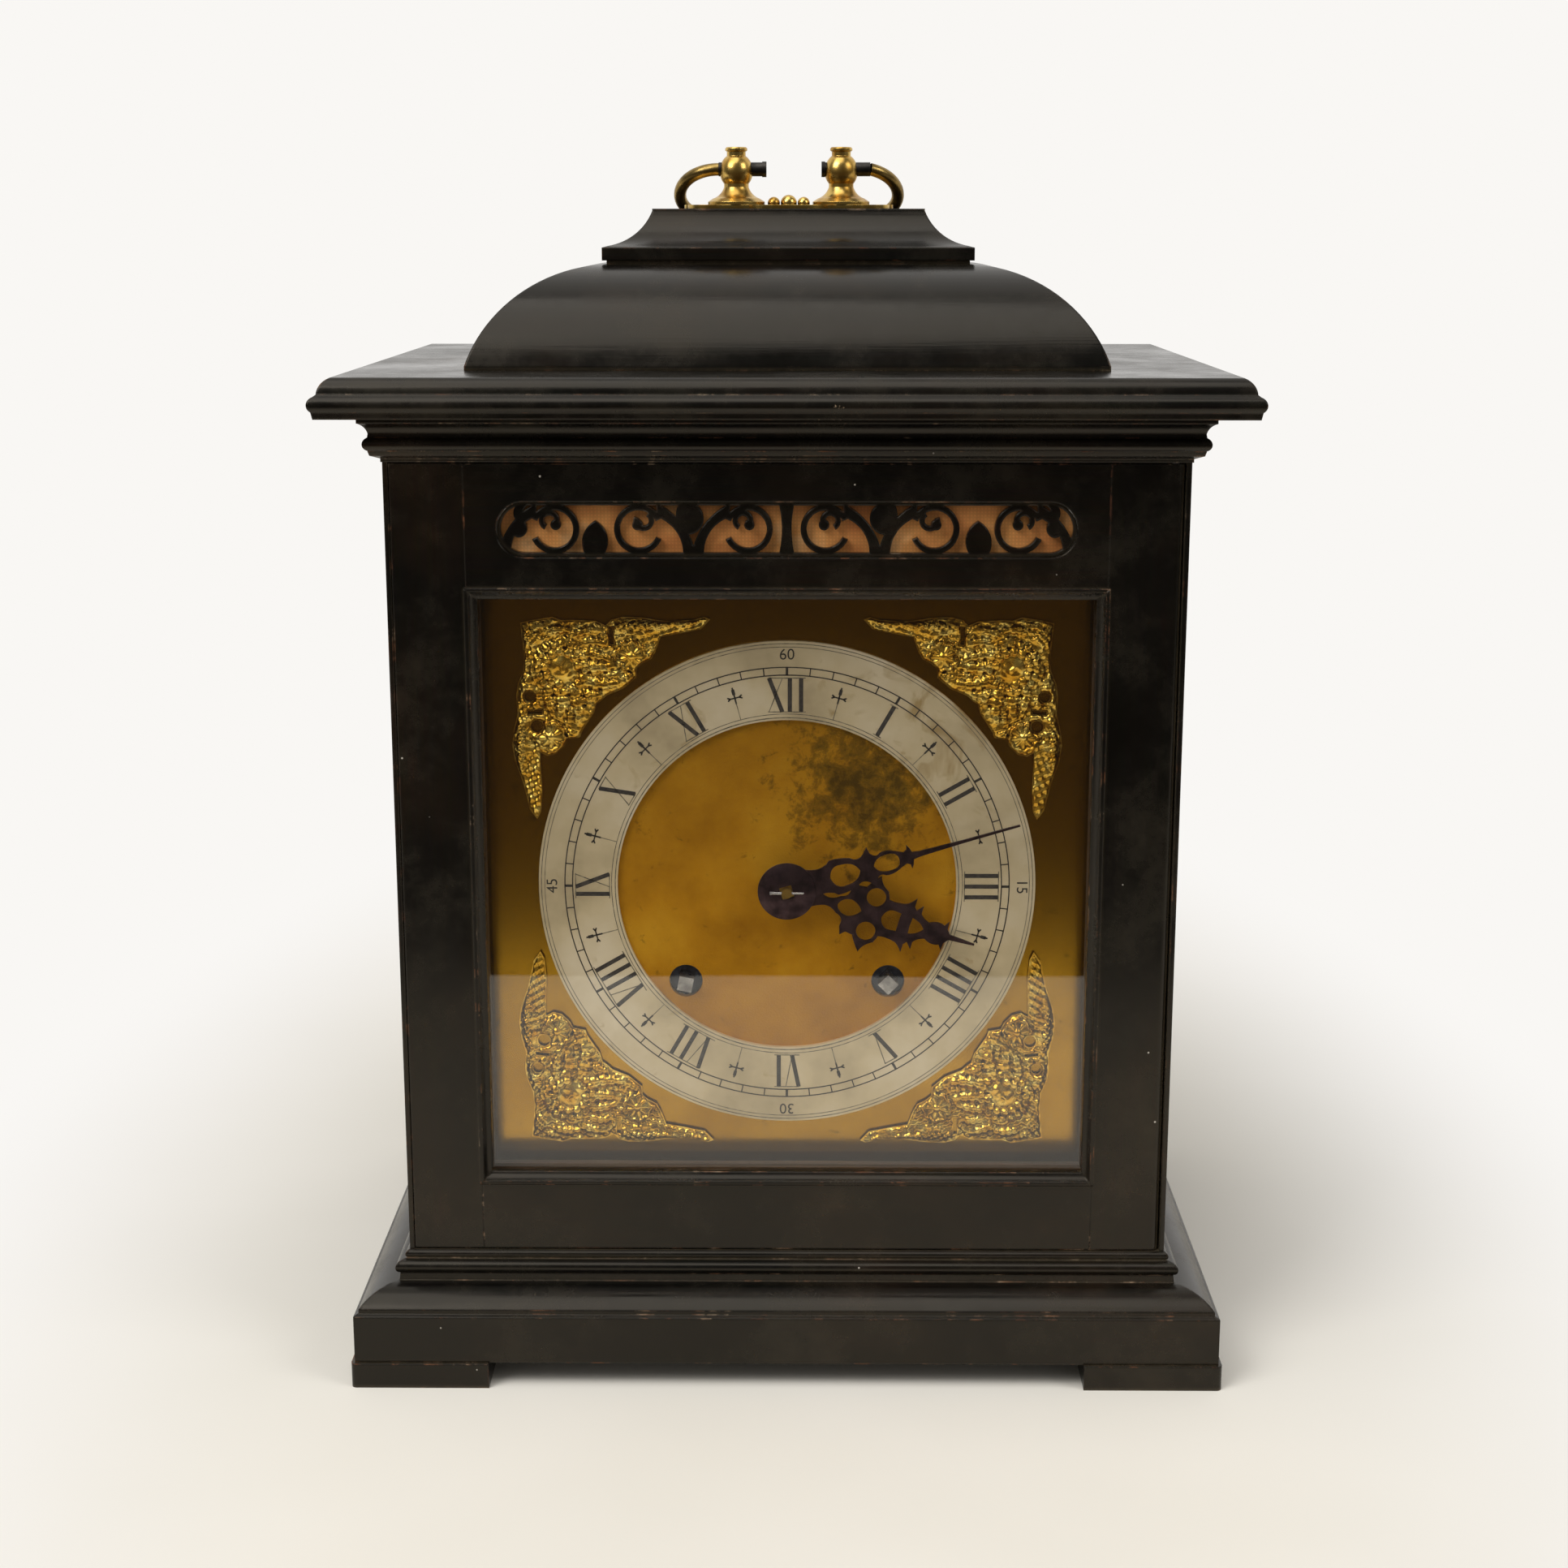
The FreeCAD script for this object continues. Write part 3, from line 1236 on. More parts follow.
def handle_post(name, x):
    """Turned post with a flared foot, a ball that takes the pivot, a knob, and a tail in the cap."""
    foot, axis, top = handle_foot, handle_z, handle_z + cells.knob_rise
    neck = cells.post_neck_radius
    flare = cells.pivot_rise / 2
    tail = neck - 1.4 - cells.fit
    post = turned(
        name + "_turned",
        "Z",
        (x, 0, 0),
        [
            (0, foot - 10.5),
            (tail, foot - 10.5),
            (tail, foot),
            (cells.post_flange_radius, foot),
            (cells.post_flange_radius, foot + 0.9),
            (cells.post_flange_radius - 1.6, foot + 1.9, -5.2),
            (neck, foot + flare),
            (neck, axis - 4.3),
            (neck + 0.5, axis - 3.6, 6.0),
            (neck - 0.2, axis + 3.4),
            (neck - 0.9, axis + 4.0),
            (neck - 0.9, top - 1.4),
            (neck - 0.4, top - 1.0),
            (neck - 0.4, top - 0.4),
            (neck - 0.8, top),
            (0, top),
        ],
    )
    bore = rod(name + "_bore", "X", cells.pivot_radius + cells.running, (x - 10, x + 10), (0, axis))
    return cut(name, post, bore)


def bail():
    """The folding handle: two bends at each end and a turned grip, hung on two steel pivots."""
    axis = handle_z
    wide, first, second = cells.bail_half, cells.shoulder_radius, cells.return_radius
    # the right end starts further out, so its first bend is flatter: radius and angle from its chord
    run, rise = wide - cells.bail_right_start, first
    flatter = (run * run + rise * rise) / (2 * run)
    short = dim(math.degrees(math.asin(float(rise) / float(flatter))))
    pieces = [
        bend("bail_left_first", first, (first - wide, first), 180, 90),
        bend("bail_left_second", second, (second - wide, first), 90, 90),
        bend("bail_right_first", flatter, (wide - flatter, first), -short, short),
        bend("bail_right_second", second, (wide - second, first), 0, 90),
    ]
    reach = first + second
    half = wide - second
    thin, thick = cells.bail_radius, cells.grip_radius
    grip = turned(
        "bail_grip",
        "X",
        (0, reach, 0),
        [
            (0, -half),
            (thin, -half),
            (thin + 0.8, -half + 1.2),
            (thin, -half + 2.4),
            (thin, -half + 3.4, -30.0),
            (thick, -4.0),
            (thick - 0.8, -3.0),
            (thick + 0.4, 0),
            (thick - 0.8, 3.0),
            (thick, 4.0, -30.0),
            (thin, half - 3.4),
            (thin, half - 2.4),
            (thin + 0.8, half - 1.2),
            (thin, half),
            (0, half),
        ],
    )
    # the flatter bend would lean into its pivot, so the end is cut square where the pivot stops
    room = rod("bail_end_room", "X", thin * 2, (cells.post_side, cells.bail_right_start), (0, 0))
    flat = cut("bail_flat", fuse("bail_pieces", *pieces, grip), room)
    flat.Placement = FreeCAD.Placement(V(), FreeCAD.Rotation(V(1, 0, 0), 0))
    flat.Placement.Rotation.Axis = V(1, 0, 0)
    bind(flat, "Placement.Rotation.Angle", -cells.bail_rest_angle)
    bind(flat, "Placement.Base.z", axis)
    subpart("bail_handle", flat)
    ball = cells.post_ball_radius
    pins = []
    for side, sign, outer, head in (
        ("left", -1, wide - first, 3.6),
        ("right", 1, cells.bail_right_start, 0.5),
    ):
        inner = cells.post_side - ball
        xs = (inner - head, outer)
        span = xs if sign > 0 else (-xs[1], -xs[0])
        shank = rod(f"bail_pivot_{side}_shank", "X", cells.pivot_radius, span, (0, axis))
        head_xs = (inner - head - 1.0, inner - head + 0.3) if side == "left" else (inner - 1.4, inner - 0.3)
        head_span = head_xs if sign > 0 else (-head_xs[1], -head_xs[0])
        cap = rod(f"bail_pivot_{side}_head", "X", cells.pivot_radius + 0.25, head_span, (0, axis))
        pins.append(fuse(f"bail_pivot_{side}", shank, cap))
    subpart("bail_pivots", group("bail_pivots_group", pins))


def bend(name, radius, centre, start, angle):
    """Round stock bent in the XY plane: a piece of a ring from a start angle, in degrees."""
    ring = doc.addObject("Part::Torus", name)
    bind(ring, "Radius1", radius)
    bind(ring, "Radius2", cells.bail_radius)
    bind(ring, "Angle3", angle)
    return place(ring, (centre[0], centre[1], 0), FreeCAD.Rotation(V(0, 0, 1), float(start)))


# ------------------------------------------------------------------ movement
def meeting(first, first_reach, second, second_reach, side):
    """The point at the given reaches from two points; side is 1 left of the way from first to second."""
    dx, dz = second[0] - first[0], second[1] - first[1]
    span = math.hypot(dx, dz)
    along = (first_reach**2 - second_reach**2 + span**2) / (2 * span)
    off = math.sqrt(first_reach**2 - along**2) * side
    return (first[0] + (along * dx - off * dz) / span, first[1] + (along * dz + off * dx) / span)


def pitch(module, *teeth):
    """Distance between the arbors of two wheels in mesh."""
    return float(module) * sum(float(count) for count in teeth) / 2


def arbor_spots():
    """Where each arbor of the movement stands, as (x, z)."""
    c = cells
    centre = (0.0, float(dial_z))
    going = (float(c.wind_side), float(wind_z))
    striking = (-going[0], going[1])
    escape = (0.0, centre[1] + float(c.escape_rise))
    pallet = (0.0, centre[1] + float(c.pallet_rise))
    great = pitch(c.barrel_module, c.barrel_teeth, c.barrel_pinion_teeth)
    inter = meeting(going, great, centre, pitch(c.inter_module, c.inter_teeth, c.centre_pinion_teeth), -1)
    third = meeting(
        centre,
        pitch(c.centre_module, c.centre_teeth, c.third_pinion_teeth),
        escape,
        pitch(c.third_module, c.third_teeth, c.escape_pinion_teeth),
        1,
    )
    lean = math.radians(80)
    pin = (striking[0] + great * math.cos(lean), striking[1] + great * math.sin(lean))
    fly_reach = pitch(c.pin_module, c.pin_teeth, c.fly_teeth)
    fly = (pin[0] + fly_reach * math.cos(lean), pin[1] + fly_reach * math.sin(lean))
    stud_reach = pitch(c.minute_module, c.cannon_teeth, c.minute_teeth)
    lean = math.radians(225)
    minute = (centre[0] + stud_reach * math.cos(lean), centre[1] + stud_reach * math.sin(lean))
    hammer = (float(c.hammer_side), centre[1] + float(c.hammer_rise))
    return {
        "centre": centre,
        "going": going,
        "striking": striking,
        "escape": escape,
        "pallet": pallet,
        "inter": inter,
        "third": third,
        "pin": pin,
        "fly": fly,
        "minute": minute,
        "hammer": hammer,
    }


SPOTS = arbor_spots()


def bearing(from_spot, to_spot):
    """Direction from one arbor to another, degrees from +X towards +Z."""
    dx, dz = to_spot[0] - from_spot[0], to_spot[1] - from_spot[1]
    return math.degrees(math.atan2(dz, dx))


def meshed(phase, teeth, direction, other_teeth):
    """First tooth's angle on a wheel that meshes with another whose first tooth is at phase."""
    share = ((direction - phase) * float(teeth) / 360) % 1
    return direction + 180 - (0.5 - share) * 360 / float(other_teeth)


def toothed(spot, teeth, module, phase, depths, rim=None, hub=None, pinion=False):
    """A spur wheel in an XZ plane: straight-sided teeth, and four crossings when a rim is given."""
    teeth, module = int(float(teeth)), float(module)
    radius = teeth * module / 2
    tip = radius + (0.75 if pinion else 0.8) * module
    root = radius - (1.05 if pinion else 1.1) * module
    step = 2 * math.pi / teeth
    # half widths of a tooth at its root and tip, as shares of the pitch
    shares = ((root, -0.27), (tip, -0.085), (tip, 0.085), (root, 0.27))
    x, z = spot
    y = float(depths[0])

    def point(reach, angle):
        return V(x + reach * math.cos(angle), y, z + reach * math.sin(angle))

    corners = [
        point(reach, math.radians(phase) + (number + share) * step)
        for number in range(teeth)
        for reach, share in shares
    ]
    wires = [Part.makePolygon(corners + corners[:1])]
    if rim:
        wires += crossings(point, float(hub), root - float(rim), 1.1)
    face = Part.makeFace(wires, "Part::FaceMakerBullseye")
    return face.extrude(V(0, float(depths[1]) - y, 0))


def crossings(point, inner, outer, half_arm):
    """Four openings between a wheel's arms."""
    wires = []
    for quarter in range(4):
        middle = quarter * math.pi / 2 + math.pi / 4
        near = math.pi / 4 - math.asin(half_arm / inner)
        far = math.pi / 4 - math.asin(half_arm / outer)
        edges = [
            Part.Arc(point(outer, middle - far), point(outer, middle), point(outer, middle + far)).toShape(),
            Part.makeLine(point(outer, middle + far), point(inner, middle + near)),
            Part.Arc(point(inner, middle + near), point(inner, middle), point(inner, middle - near)).toShape(),
            Part.makeLine(point(inner, middle - near), point(outer, middle - far)),
        ]
        wires.append(Part.Wire(edges))
    return wires


def arbor(name, spot, radius, pivot=cells.train_pivot_radius):
    """An arbor between the plates, with a smaller pivot in each."""
    inner = (front_plate[1] + 0.3, back_plate[0] - 0.3)
    body = rod(name + "_shaft", "Y", radius, inner, spot)
    pins = rod(name + "_pivots", "Y", pivot, (front_plate[0] + 0.2, back_plate[1] - 0.2), spot)
    return [body, pins]


def layer(start, thick):
    """A slice between the plates, from the front plate's back face."""
    return (front_plate[1] + start, front_plate[1] + start + thick)


GREAT_LAYER = layer(1.0, cells.great_wheel_thick)
DRUM_LAYER = layer(3.0, cells.barrel_length)
THIRD_LAYER = layer(23.0, cells.wheel_thick)
INTER_LAYER = layer(29.5, cells.wheel_thick)
CENTRE_LAYER = layer(35.0, cells.wheel_thick)
ESCAPE_LAYER = layer(37.5, cells.wheel_thick)


def plates():
    """Front plate, back plate, pillars, seat board and cock."""
    c = cells
    low, high = dial_z - c.plate_drop, dial_z + c.plate_rise
    span = ((-c.plate_half, c.plate_half), (low, high))
    corners = [
        (x, z)
        for x in (c.pillar_inset - c.plate_half, c.plate_half - c.pillar_inset)
        for z in (low + c.pillar_inset, high - c.pillar_inset)
    ]
    pivot_hole = c.train_pivot_radius + c.running
    slim_hole = c.slim_pivot_radius + c.running
    winding = c.winding_radius - 0.5
    # hole radius at each arbor in the front plate and in the back plate
    holes = {
        "going": (winding + c.running, winding + c.running),
        "striking": (winding + c.running, winding + c.running),
        "centre": (c.centre_arbor_radius + c.running, pivot_hole),
        "inter": (pivot_hole, pivot_hole),
        "third": (slim_hole, slim_hole),
        "escape": (slim_hole, slim_hole),
        "pallet": (pivot_hole, dim(4.0)),
        "pin": (pivot_hole, pivot_hole),
        "fly": (pivot_hole, pivot_hole),
        "hammer": (pivot_hole, c.centre_arbor_radius + c.running),
    }
    for number, (name, depths) in enumerate((("front_plate", front_plate), ("back_plate", back_plate))):
        blank = box(name + "_blank", span[0], depths, span[1])
        tools = []
        through = (depths[0] - 1, depths[1] + 1)
        for key, radii in holes.items():
            if radii[number] is not None:
                tools.append(rod(f"{name}_{key}_hole", "Y", radii[number], through, SPOTS[key]))
        for place_number, at in enumerate(corners):
            tools.append(rod(f"{name}_pillar_hole_{place_number}", "Y", c.pillar_radius / 2, through, at))
        if number == 0:
            for place_number, at in enumerate(foot_spots()):
                radius = c.dial_foot_radius / 2 + c.fit
                tools.append(rod(f"{name}_foot_hole_{place_number}", "Y", radius, through, at))
        subpart(name, cut(name + "_body", blank, *tools))
    pillars = []
    for number, at in enumerate(corners):
        inner = (front_plate[1], back_plate[0])
        waist, full = c.pillar_radius * 0.7, c.pillar_radius
        length = inner[1] - inner[0]
        middle = (inner[0] + inner[1]) / 2
        shank = turned(
            f"pillar_{number}_shank",
            "Y",
            (at[0], 0, at[1]),
            [
                (0, inner[0]), (full, inner[0]), (full, inner[0] + 2.0), (waist, inner[0] + 3.5),
                (waist, middle - 3.5), (full, middle - 1.5, 2.2), (full, middle + 1.5),
                (waist, middle + 3.5), (waist, inner[1] - 3.5), (full, inner[1] - 2.0),
                (full, inner[1]), (0, inner[1]),
            ],
        )
        tenon = rod(f"pillar_{number}_tenons", "Y", c.pillar_radius / 2, (front_plate[0], back_plate[1] + 0.0), at)
        pillars.append(fuse(f"pillar_{number}", shank, tenon))
    subpart("plate_pillars", group("plate_pillars_group", pillars))
    seat = box(
        "seat_board_body",
        (-inner_half - c.seat_dado, inner_half + c.seat_dado),
        seat_depths(),
        seat_z,
    )
    subpart("seat_board", seat)
    cock_depth = (back_plate[1] + 3.0, back_plate[1] + 5.0)
    pallet = SPOTS["pallet"]
    bridge = box("cock_bridge", (-17, 17), cock_depth, (pallet[1] - 4, pallet[1] + 6))
    feet = [
        box(f"cock_foot_{n}", (x - 3, x + 3), (back_plate[1], cock_depth[0]), (pallet[1] - 4, pallet[1] + 6))
        for n, x in enumerate((-14, 14))
    ]
    stud = rod("cock_stud", "Y", 1.5, (cock_depth[1] - 1, pendulum_y + 3.5), pallet)
    collar = rod("cock_stud_head", "Y", 2.6, (pendulum_y + 2.2, pendulum_y + 3.5), pallet)
    pivot = rod("cock_pivot_hole", "Y", pivot_hole, (cock_depth[0] - 1, cock_depth[1] - 0.5), pallet)
    cock = fuse("cock_whole", bridge, *feet, stud, collar)
    subpart("pendulum_cock", cut("pendulum_cock_body", cock, pivot))


def barrels():
    """Spring barrels with their great wheels, winding arbors with ratchets, and the clicks."""
    c = cells
    great_phase = {}
    inter_bearing = bearing(SPOTS["going"], SPOTS["inter"])
    pin_bearing = bearing(SPOTS["striking"], SPOTS["pin"])
    for key, name, direction in (("going", "going", inter_bearing), ("striking", "strike", pin_bearing)):
        at = SPOTS[key]
        great_phase[key] = direction
        wheel = fixed(
            f"{name}_great_wheel",
            toothed(at, c.barrel_teeth, c.barrel_module, direction, GREAT_LAYER),
        )
        drum = rod(f"{name}_drum", "Y", c.barrel_radius, (GREAT_LAYER[1] - 0.1, DRUM_LAYER[1]), at)
        lid = rod(f"{name}_lid", "Y", c.barrel_radius + 0.5, (DRUM_LAYER[1] - 2.0, DRUM_LAYER[1] - 0.6), at)
        space = rod(f"{name}_spring_space", "Y", c.barrel_radius - 1.4,
                    (GREAT_LAYER[1] + 1.0, DRUM_LAYER[1] - 2.0), at)
        bore = rod(f"{name}_barrel_bore", "Y", c.winding_radius + c.running,
                   (GREAT_LAYER[0] - 1, DRUM_LAYER[1] + 1), at)
        whole = fuse(f"{name}_barrel_whole", wheel, drum, lid)
        subpart(f"{name}_barrel", cut(f"{name}_barrel_body", whole, space, bore))
        thick = rod(f"{name}_arbor_thick", "Y", c.winding_radius,
                    (front_plate[1] + 0.4, DRUM_LAYER[1] + 1.5), at)
        thin = rod(f"{name}_arbor_thin", "Y", c.winding_radius - 0.5,
                   (front_plate[0] - 4.5, back_plate[1] - 0.3), at)
        half = c.winding_square / 2
        square = box(
            f"{name}_square",
            (-half, half),
            (front + c.winding_depth, front_plate[0] - 0.8),
            (-half, half),
        )
        square = turned_square(f"{name}_square_turned", square, at, 12 if key == "striking" else 45)
        ratchet = fixed(f"{name}_ratchet", ratchet_shape(at, (front_plate[0] - 2.6, front_plate[0] - 0.8)))
        subpart(f"{name}_arbor", fuse(f"{name}_arbor_body", thick, thin, square, ratchet))
    clicks = []
    for number, sign in enumerate((1, -1)):
        at = (SPOTS["going"][0] * sign, SPOTS["going"][1])
        clicks.append(fixed(f"click_{number}", click_shape(at, sign)))
    subpart("clicks", group("clicks_group", clicks))


def turned_square(name, square, at, angle):
    """A square bar turned about its own middle and moved to an arbor."""
    wrapper = doc.addObject("Part::Compound", name)
    wrapper.Links = [square]
    wrapper.Placement = FreeCAD.Placement(V(at[0], 0, at[1]), FreeCAD.Rotation(V(0, 1, 0), angle))
    return wrapper


def ratchet_shape(spot, depths):
    """A ratchet wheel: each tooth has a radial face and a sloping back."""
    teeth, radius = int(float(cells.ratchet_teeth)), float(cells.ratchet_radius)
    step = 2 * math.pi / teeth
    y = float(depths[0])
    corners = []
    for number in range(teeth):
        for reach, share in ((radius, 0.0), (radius - 1.3, 0.06)):
            angle = (number + share) * step
            corners.append(V(spot[0] + reach * math.cos(angle), y, spot[1] + reach * math.sin(angle)))
    face = Part.Face(Part.makePolygon(corners + corners[:1]))
    return face.extrude(V(0, float(depths[1]) - y, 0))


def click_shape(spot, sign):
    """A click beside a ratchet, screwed to the front plate; its nose is just clear of the teeth."""
    depths = (float(front_plate[0]) - 2.4, float(front_plate[0]))
    radius = float(cells.ratchet_radius) + 0.35
    x, z = spot[0], spot[1] + radius
    body = leaf(
        [(x + 0.2 * sign, z), (x + 9.5 * sign, z - 0.8), (x + 11.5 * sign, z + 3.4), (x + 5.0 * sign, z + 3.6)],
        depths,
    )
    screw = disc((x + 9.0 * sign, z + 1.6), 2.4, (depths[0] - 1.0, depths[1]))
    return body.fuse(screw).removeSplitter()


def going_train():
    """Intermediate, centre, third and escape wheels on their arbors, each in mesh with the next."""
    c = cells
    spots = SPOTS
    # the great wheel has a tooth on the line to the intermediate arbor
    great = bearing(spots["going"], spots["inter"])
    pinion_phase = meshed(great, c.barrel_teeth, great, c.barrel_pinion_teeth)
    pinion_layer = (GREAT_LAYER[0] - 0.4, GREAT_LAYER[1] + 0.4)
    pinion = fixed("inter_pinion", toothed(spots["inter"], c.barrel_pinion_teeth, c.barrel_module,
                                           pinion_phase, pinion_layer, pinion=True))
    to_centre = bearing(spots["inter"], spots["centre"])
    wheel = fixed("inter_wheel", toothed(spots["inter"], c.inter_teeth, c.inter_module, to_centre,
                                         INTER_LAYER, rim=2.2, hub=4.5))
    subpart("intermediate_wheel", fuse("intermediate_body", pinion, wheel,
                                       *arbor("inter", spots["inter"], c.arbor_radius)))
    phase = meshed(to_centre, c.inter_teeth, to_centre, c.centre_pinion_teeth)
    pinion_layer = (INTER_LAYER[0] - 1.0, CENTRE_LAYER[0] + 0.1)
    pinion = fixed("centre_pinion", toothed(spots["centre"], c.centre_pinion_teeth, c.inter_module, phase,
                                            pinion_layer, pinion=True))
    to_third = bearing(spots["centre"], spots["third"])
    wheel = fixed("centre_teeth", toothed(spots["centre"], c.centre_teeth, c.centre_module, to_third,
                                          CENTRE_LAYER, rim=2.0, hub=4.2))
    pin_y = collet_and_pin()
    shaft_front = pin_y - 0.75
    shaft = rod("centre_shaft", "Y", c.centre_arbor_radius, (shaft_front, back_plate[0] - 0.3), spots["centre"])
    pivot = rod("centre_pivot", "Y", c.train_pivot_radius, (back_plate[0] - 1, back_plate[1] - 0.2), spots["centre"])
    pin_hole = rod("centre_pin_hole", "X", c.pin_radius + 0.02, (-3, 3), (pin_y, dial_z))
    body = fuse("centre_body", pinion, wheel, shaft, pivot)
    subpart("centre_wheel", cut("centre_drilled", body, pin_hole))
    phase = meshed(to_third, c.centre_teeth, to_third, c.third_pinion_teeth)
    pinion_layer = (CENTRE_LAYER[0] - 1.0, CENTRE_LAYER[1] + 1.0)
    pinion = fixed("third_pinion", toothed(spots["third"], c.third_pinion_teeth, c.centre_module, phase,
                                           pinion_layer, pinion=True))
    to_escape = bearing(spots["third"], spots["escape"])
    wheel = fixed("third_teeth", toothed(spots["third"], c.third_teeth, c.third_module, to_escape,
                                         THIRD_LAYER, rim=1.8, hub=3.8))
    subpart("third_wheel", fuse("third_body", pinion, wheel,
                                *arbor("third", spots["third"], c.slim_radius, c.slim_pivot_radius)))
    phase = meshed(to_escape, c.third_teeth, to_escape, c.escape_pinion_teeth)
    pinion_layer = (THIRD_LAYER[0] - 1.0, THIRD_LAYER[1] + 1.0)
    pinion = fixed("escape_pinion", toothed(spots["escape"], c.escape_pinion_teeth, c.third_module, phase,
                                            pinion_layer, pinion=True))
    wheel = fixed("escape_teeth", escape_shape(spots["escape"], ESCAPE_LAYER))
    subpart("escape_wheel", fuse("escape_body", pinion, wheel,
                                 *arbor("escape", spots["escape"], c.slim_radius, c.slim_pivot_radius)))


def escape_shape(spot, depths):
    """Escape wheel: pointed teeth that lean forwards, and four crossings."""
    teeth, radius = int(float(cells.escape_teeth)), float(cells.escape_radius)
    step = 2 * math.pi / teeth
    y = float(depths[0])

    def point(reach, angle):
        return V(spot[0] + reach * math.cos(angle), y, spot[1] + reach * math.sin(angle))

    corners = []
    for number in range(teeth):
        for reach, share in ((radius, 0.0), (radius - 2.6, 0.12), (radius - 2.6, 0.62)):
            corners.append(point(reach, (number + share) * step))
    wires = [Part.makePolygon(corners + corners[:1])]
    wires += crossings(point, 3.4, radius - 4.4, 0.9)
    face = Part.makeFace(wires, "Part::FaceMakerBullseye")
    return face.extrude(V(0, float(depths[1]) - y, 0))


def pallets_and_pendulum():
    """Anchor pallets with their crutch, and the pendulum that hangs level with their arbor."""
    c = cells
    pallet, escape = SPOTS["pallet"], SPOTS["escape"]
    depths = (float(ESCAPE_LAYER[0]) - 0.4, float(ESCAPE_LAYER[1]) + 0.4)
    reach = float(c.escape_radius) + 1.7
    arm = leaf(
        [
            (pallet[0] - 1.0, pallet[1] + 2.0),
            (pallet[0] - 9.0, pallet[1] - 1.0, 0),
            (escape[0] - reach * 0.86, escape[1] + reach * 0.62),
            (escape[0] - reach * 0.74, escape[1] + reach * 0.7),
            (pallet[0] - 7.0, pallet[1] - 3.2, 0),
            (pallet[0], pallet[1] - 2.2),
            (pallet[0] + 7.0, pallet[1] - 3.2, 0),
            (escape[0] + reach * 0.74, escape[1] + reach * 0.7),
            (escape[0] + reach * 0.86, escape[1] + reach * 0.62),
            (pallet[0] + 9.0, pallet[1] - 1.0, 0),
            (pallet[0] + 1.0, pallet[1] + 2.0),
        ],
        depths,
    )
    anchor = fixed("pallet_anchor", arm)
    crutch_y = (back_plate[1] + 0.8, back_plate[1] + 1.8)
    shaft = rod("pallet_shaft", "Y", c.arbor_radius, (front_plate[1] + 0.3, crutch_y[1] + 0.4), pallet)
    pivots = rod("pallet_pivots", "Y", c.train_pivot_radius, (front_plate[0] + 0.3, back_plate[1] + 4.2), pallet)
    crutch = box("crutch_bar", (-1.0, 1.0), crutch_y, (pallet[1] - 40, pallet[1]))
    pin_z = pallet[1] - 38.5
    crutch_pin = rod("crutch_pin", "Y", 0.7, (crutch_y[0] + 0.2, pendulum_y + 2.4), (0, pin_z))
    subpart("pallets", fuse("pallets_body", anchor, shaft, pivots, crutch, crutch_pin))
    middle = pendulum_y
    flat = (middle - 0.8, middle + 0.8)
    bob_z = pallet[1] - c.pendulum_length
    bar = box("pendulum_bar", (-2.0, 2.0), flat, (bob_z - c.bob_radius - 4.0, pallet[1] - 1.0))
    eye = rod("pendulum_eye", "Y", 3.2, flat, pallet)
    wide = box("pendulum_slot_cheeks", (-2.6, 2.6), flat, (pin_z - 3.5, pin_z + 3.5))
    half = c.bob_thick / 2
    bob = turned(
        "pendulum_bob",
        "Y",
        (0, 0, bob_z),
        [
            (0, middle - half),
            (c.bob_radius * 0.3, middle - half, 60.0),
            (c.bob_radius, middle - 0.5),
            (c.bob_radius, middle + 0.5, 60.0),
            (c.bob_radius * 0.3, middle + half),
            (0, middle + half),
        ],
    )
    nut = rod("rating_nut", "Z", 3.4, (bob_z - c.bob_radius - 3.2, bob_z - c.bob_radius - 0.8), (0, middle))
    whole = fuse("pendulum_whole", bar, eye, wide, bob, nut)
    eye_hole = rod("pendulum_eye_hole", "Y", 1.5 + c.running, (flat[0] - 1, flat[1] + 1), pallet)
    slot = box("pendulum_slot", (-0.8, 0.8), (flat[0] - 1, flat[1] + 1), (pin_z - 2.0, pin_z + 2.0))
    subpart("pendulum", cut("pendulum_body", whole, eye_hole, slot))


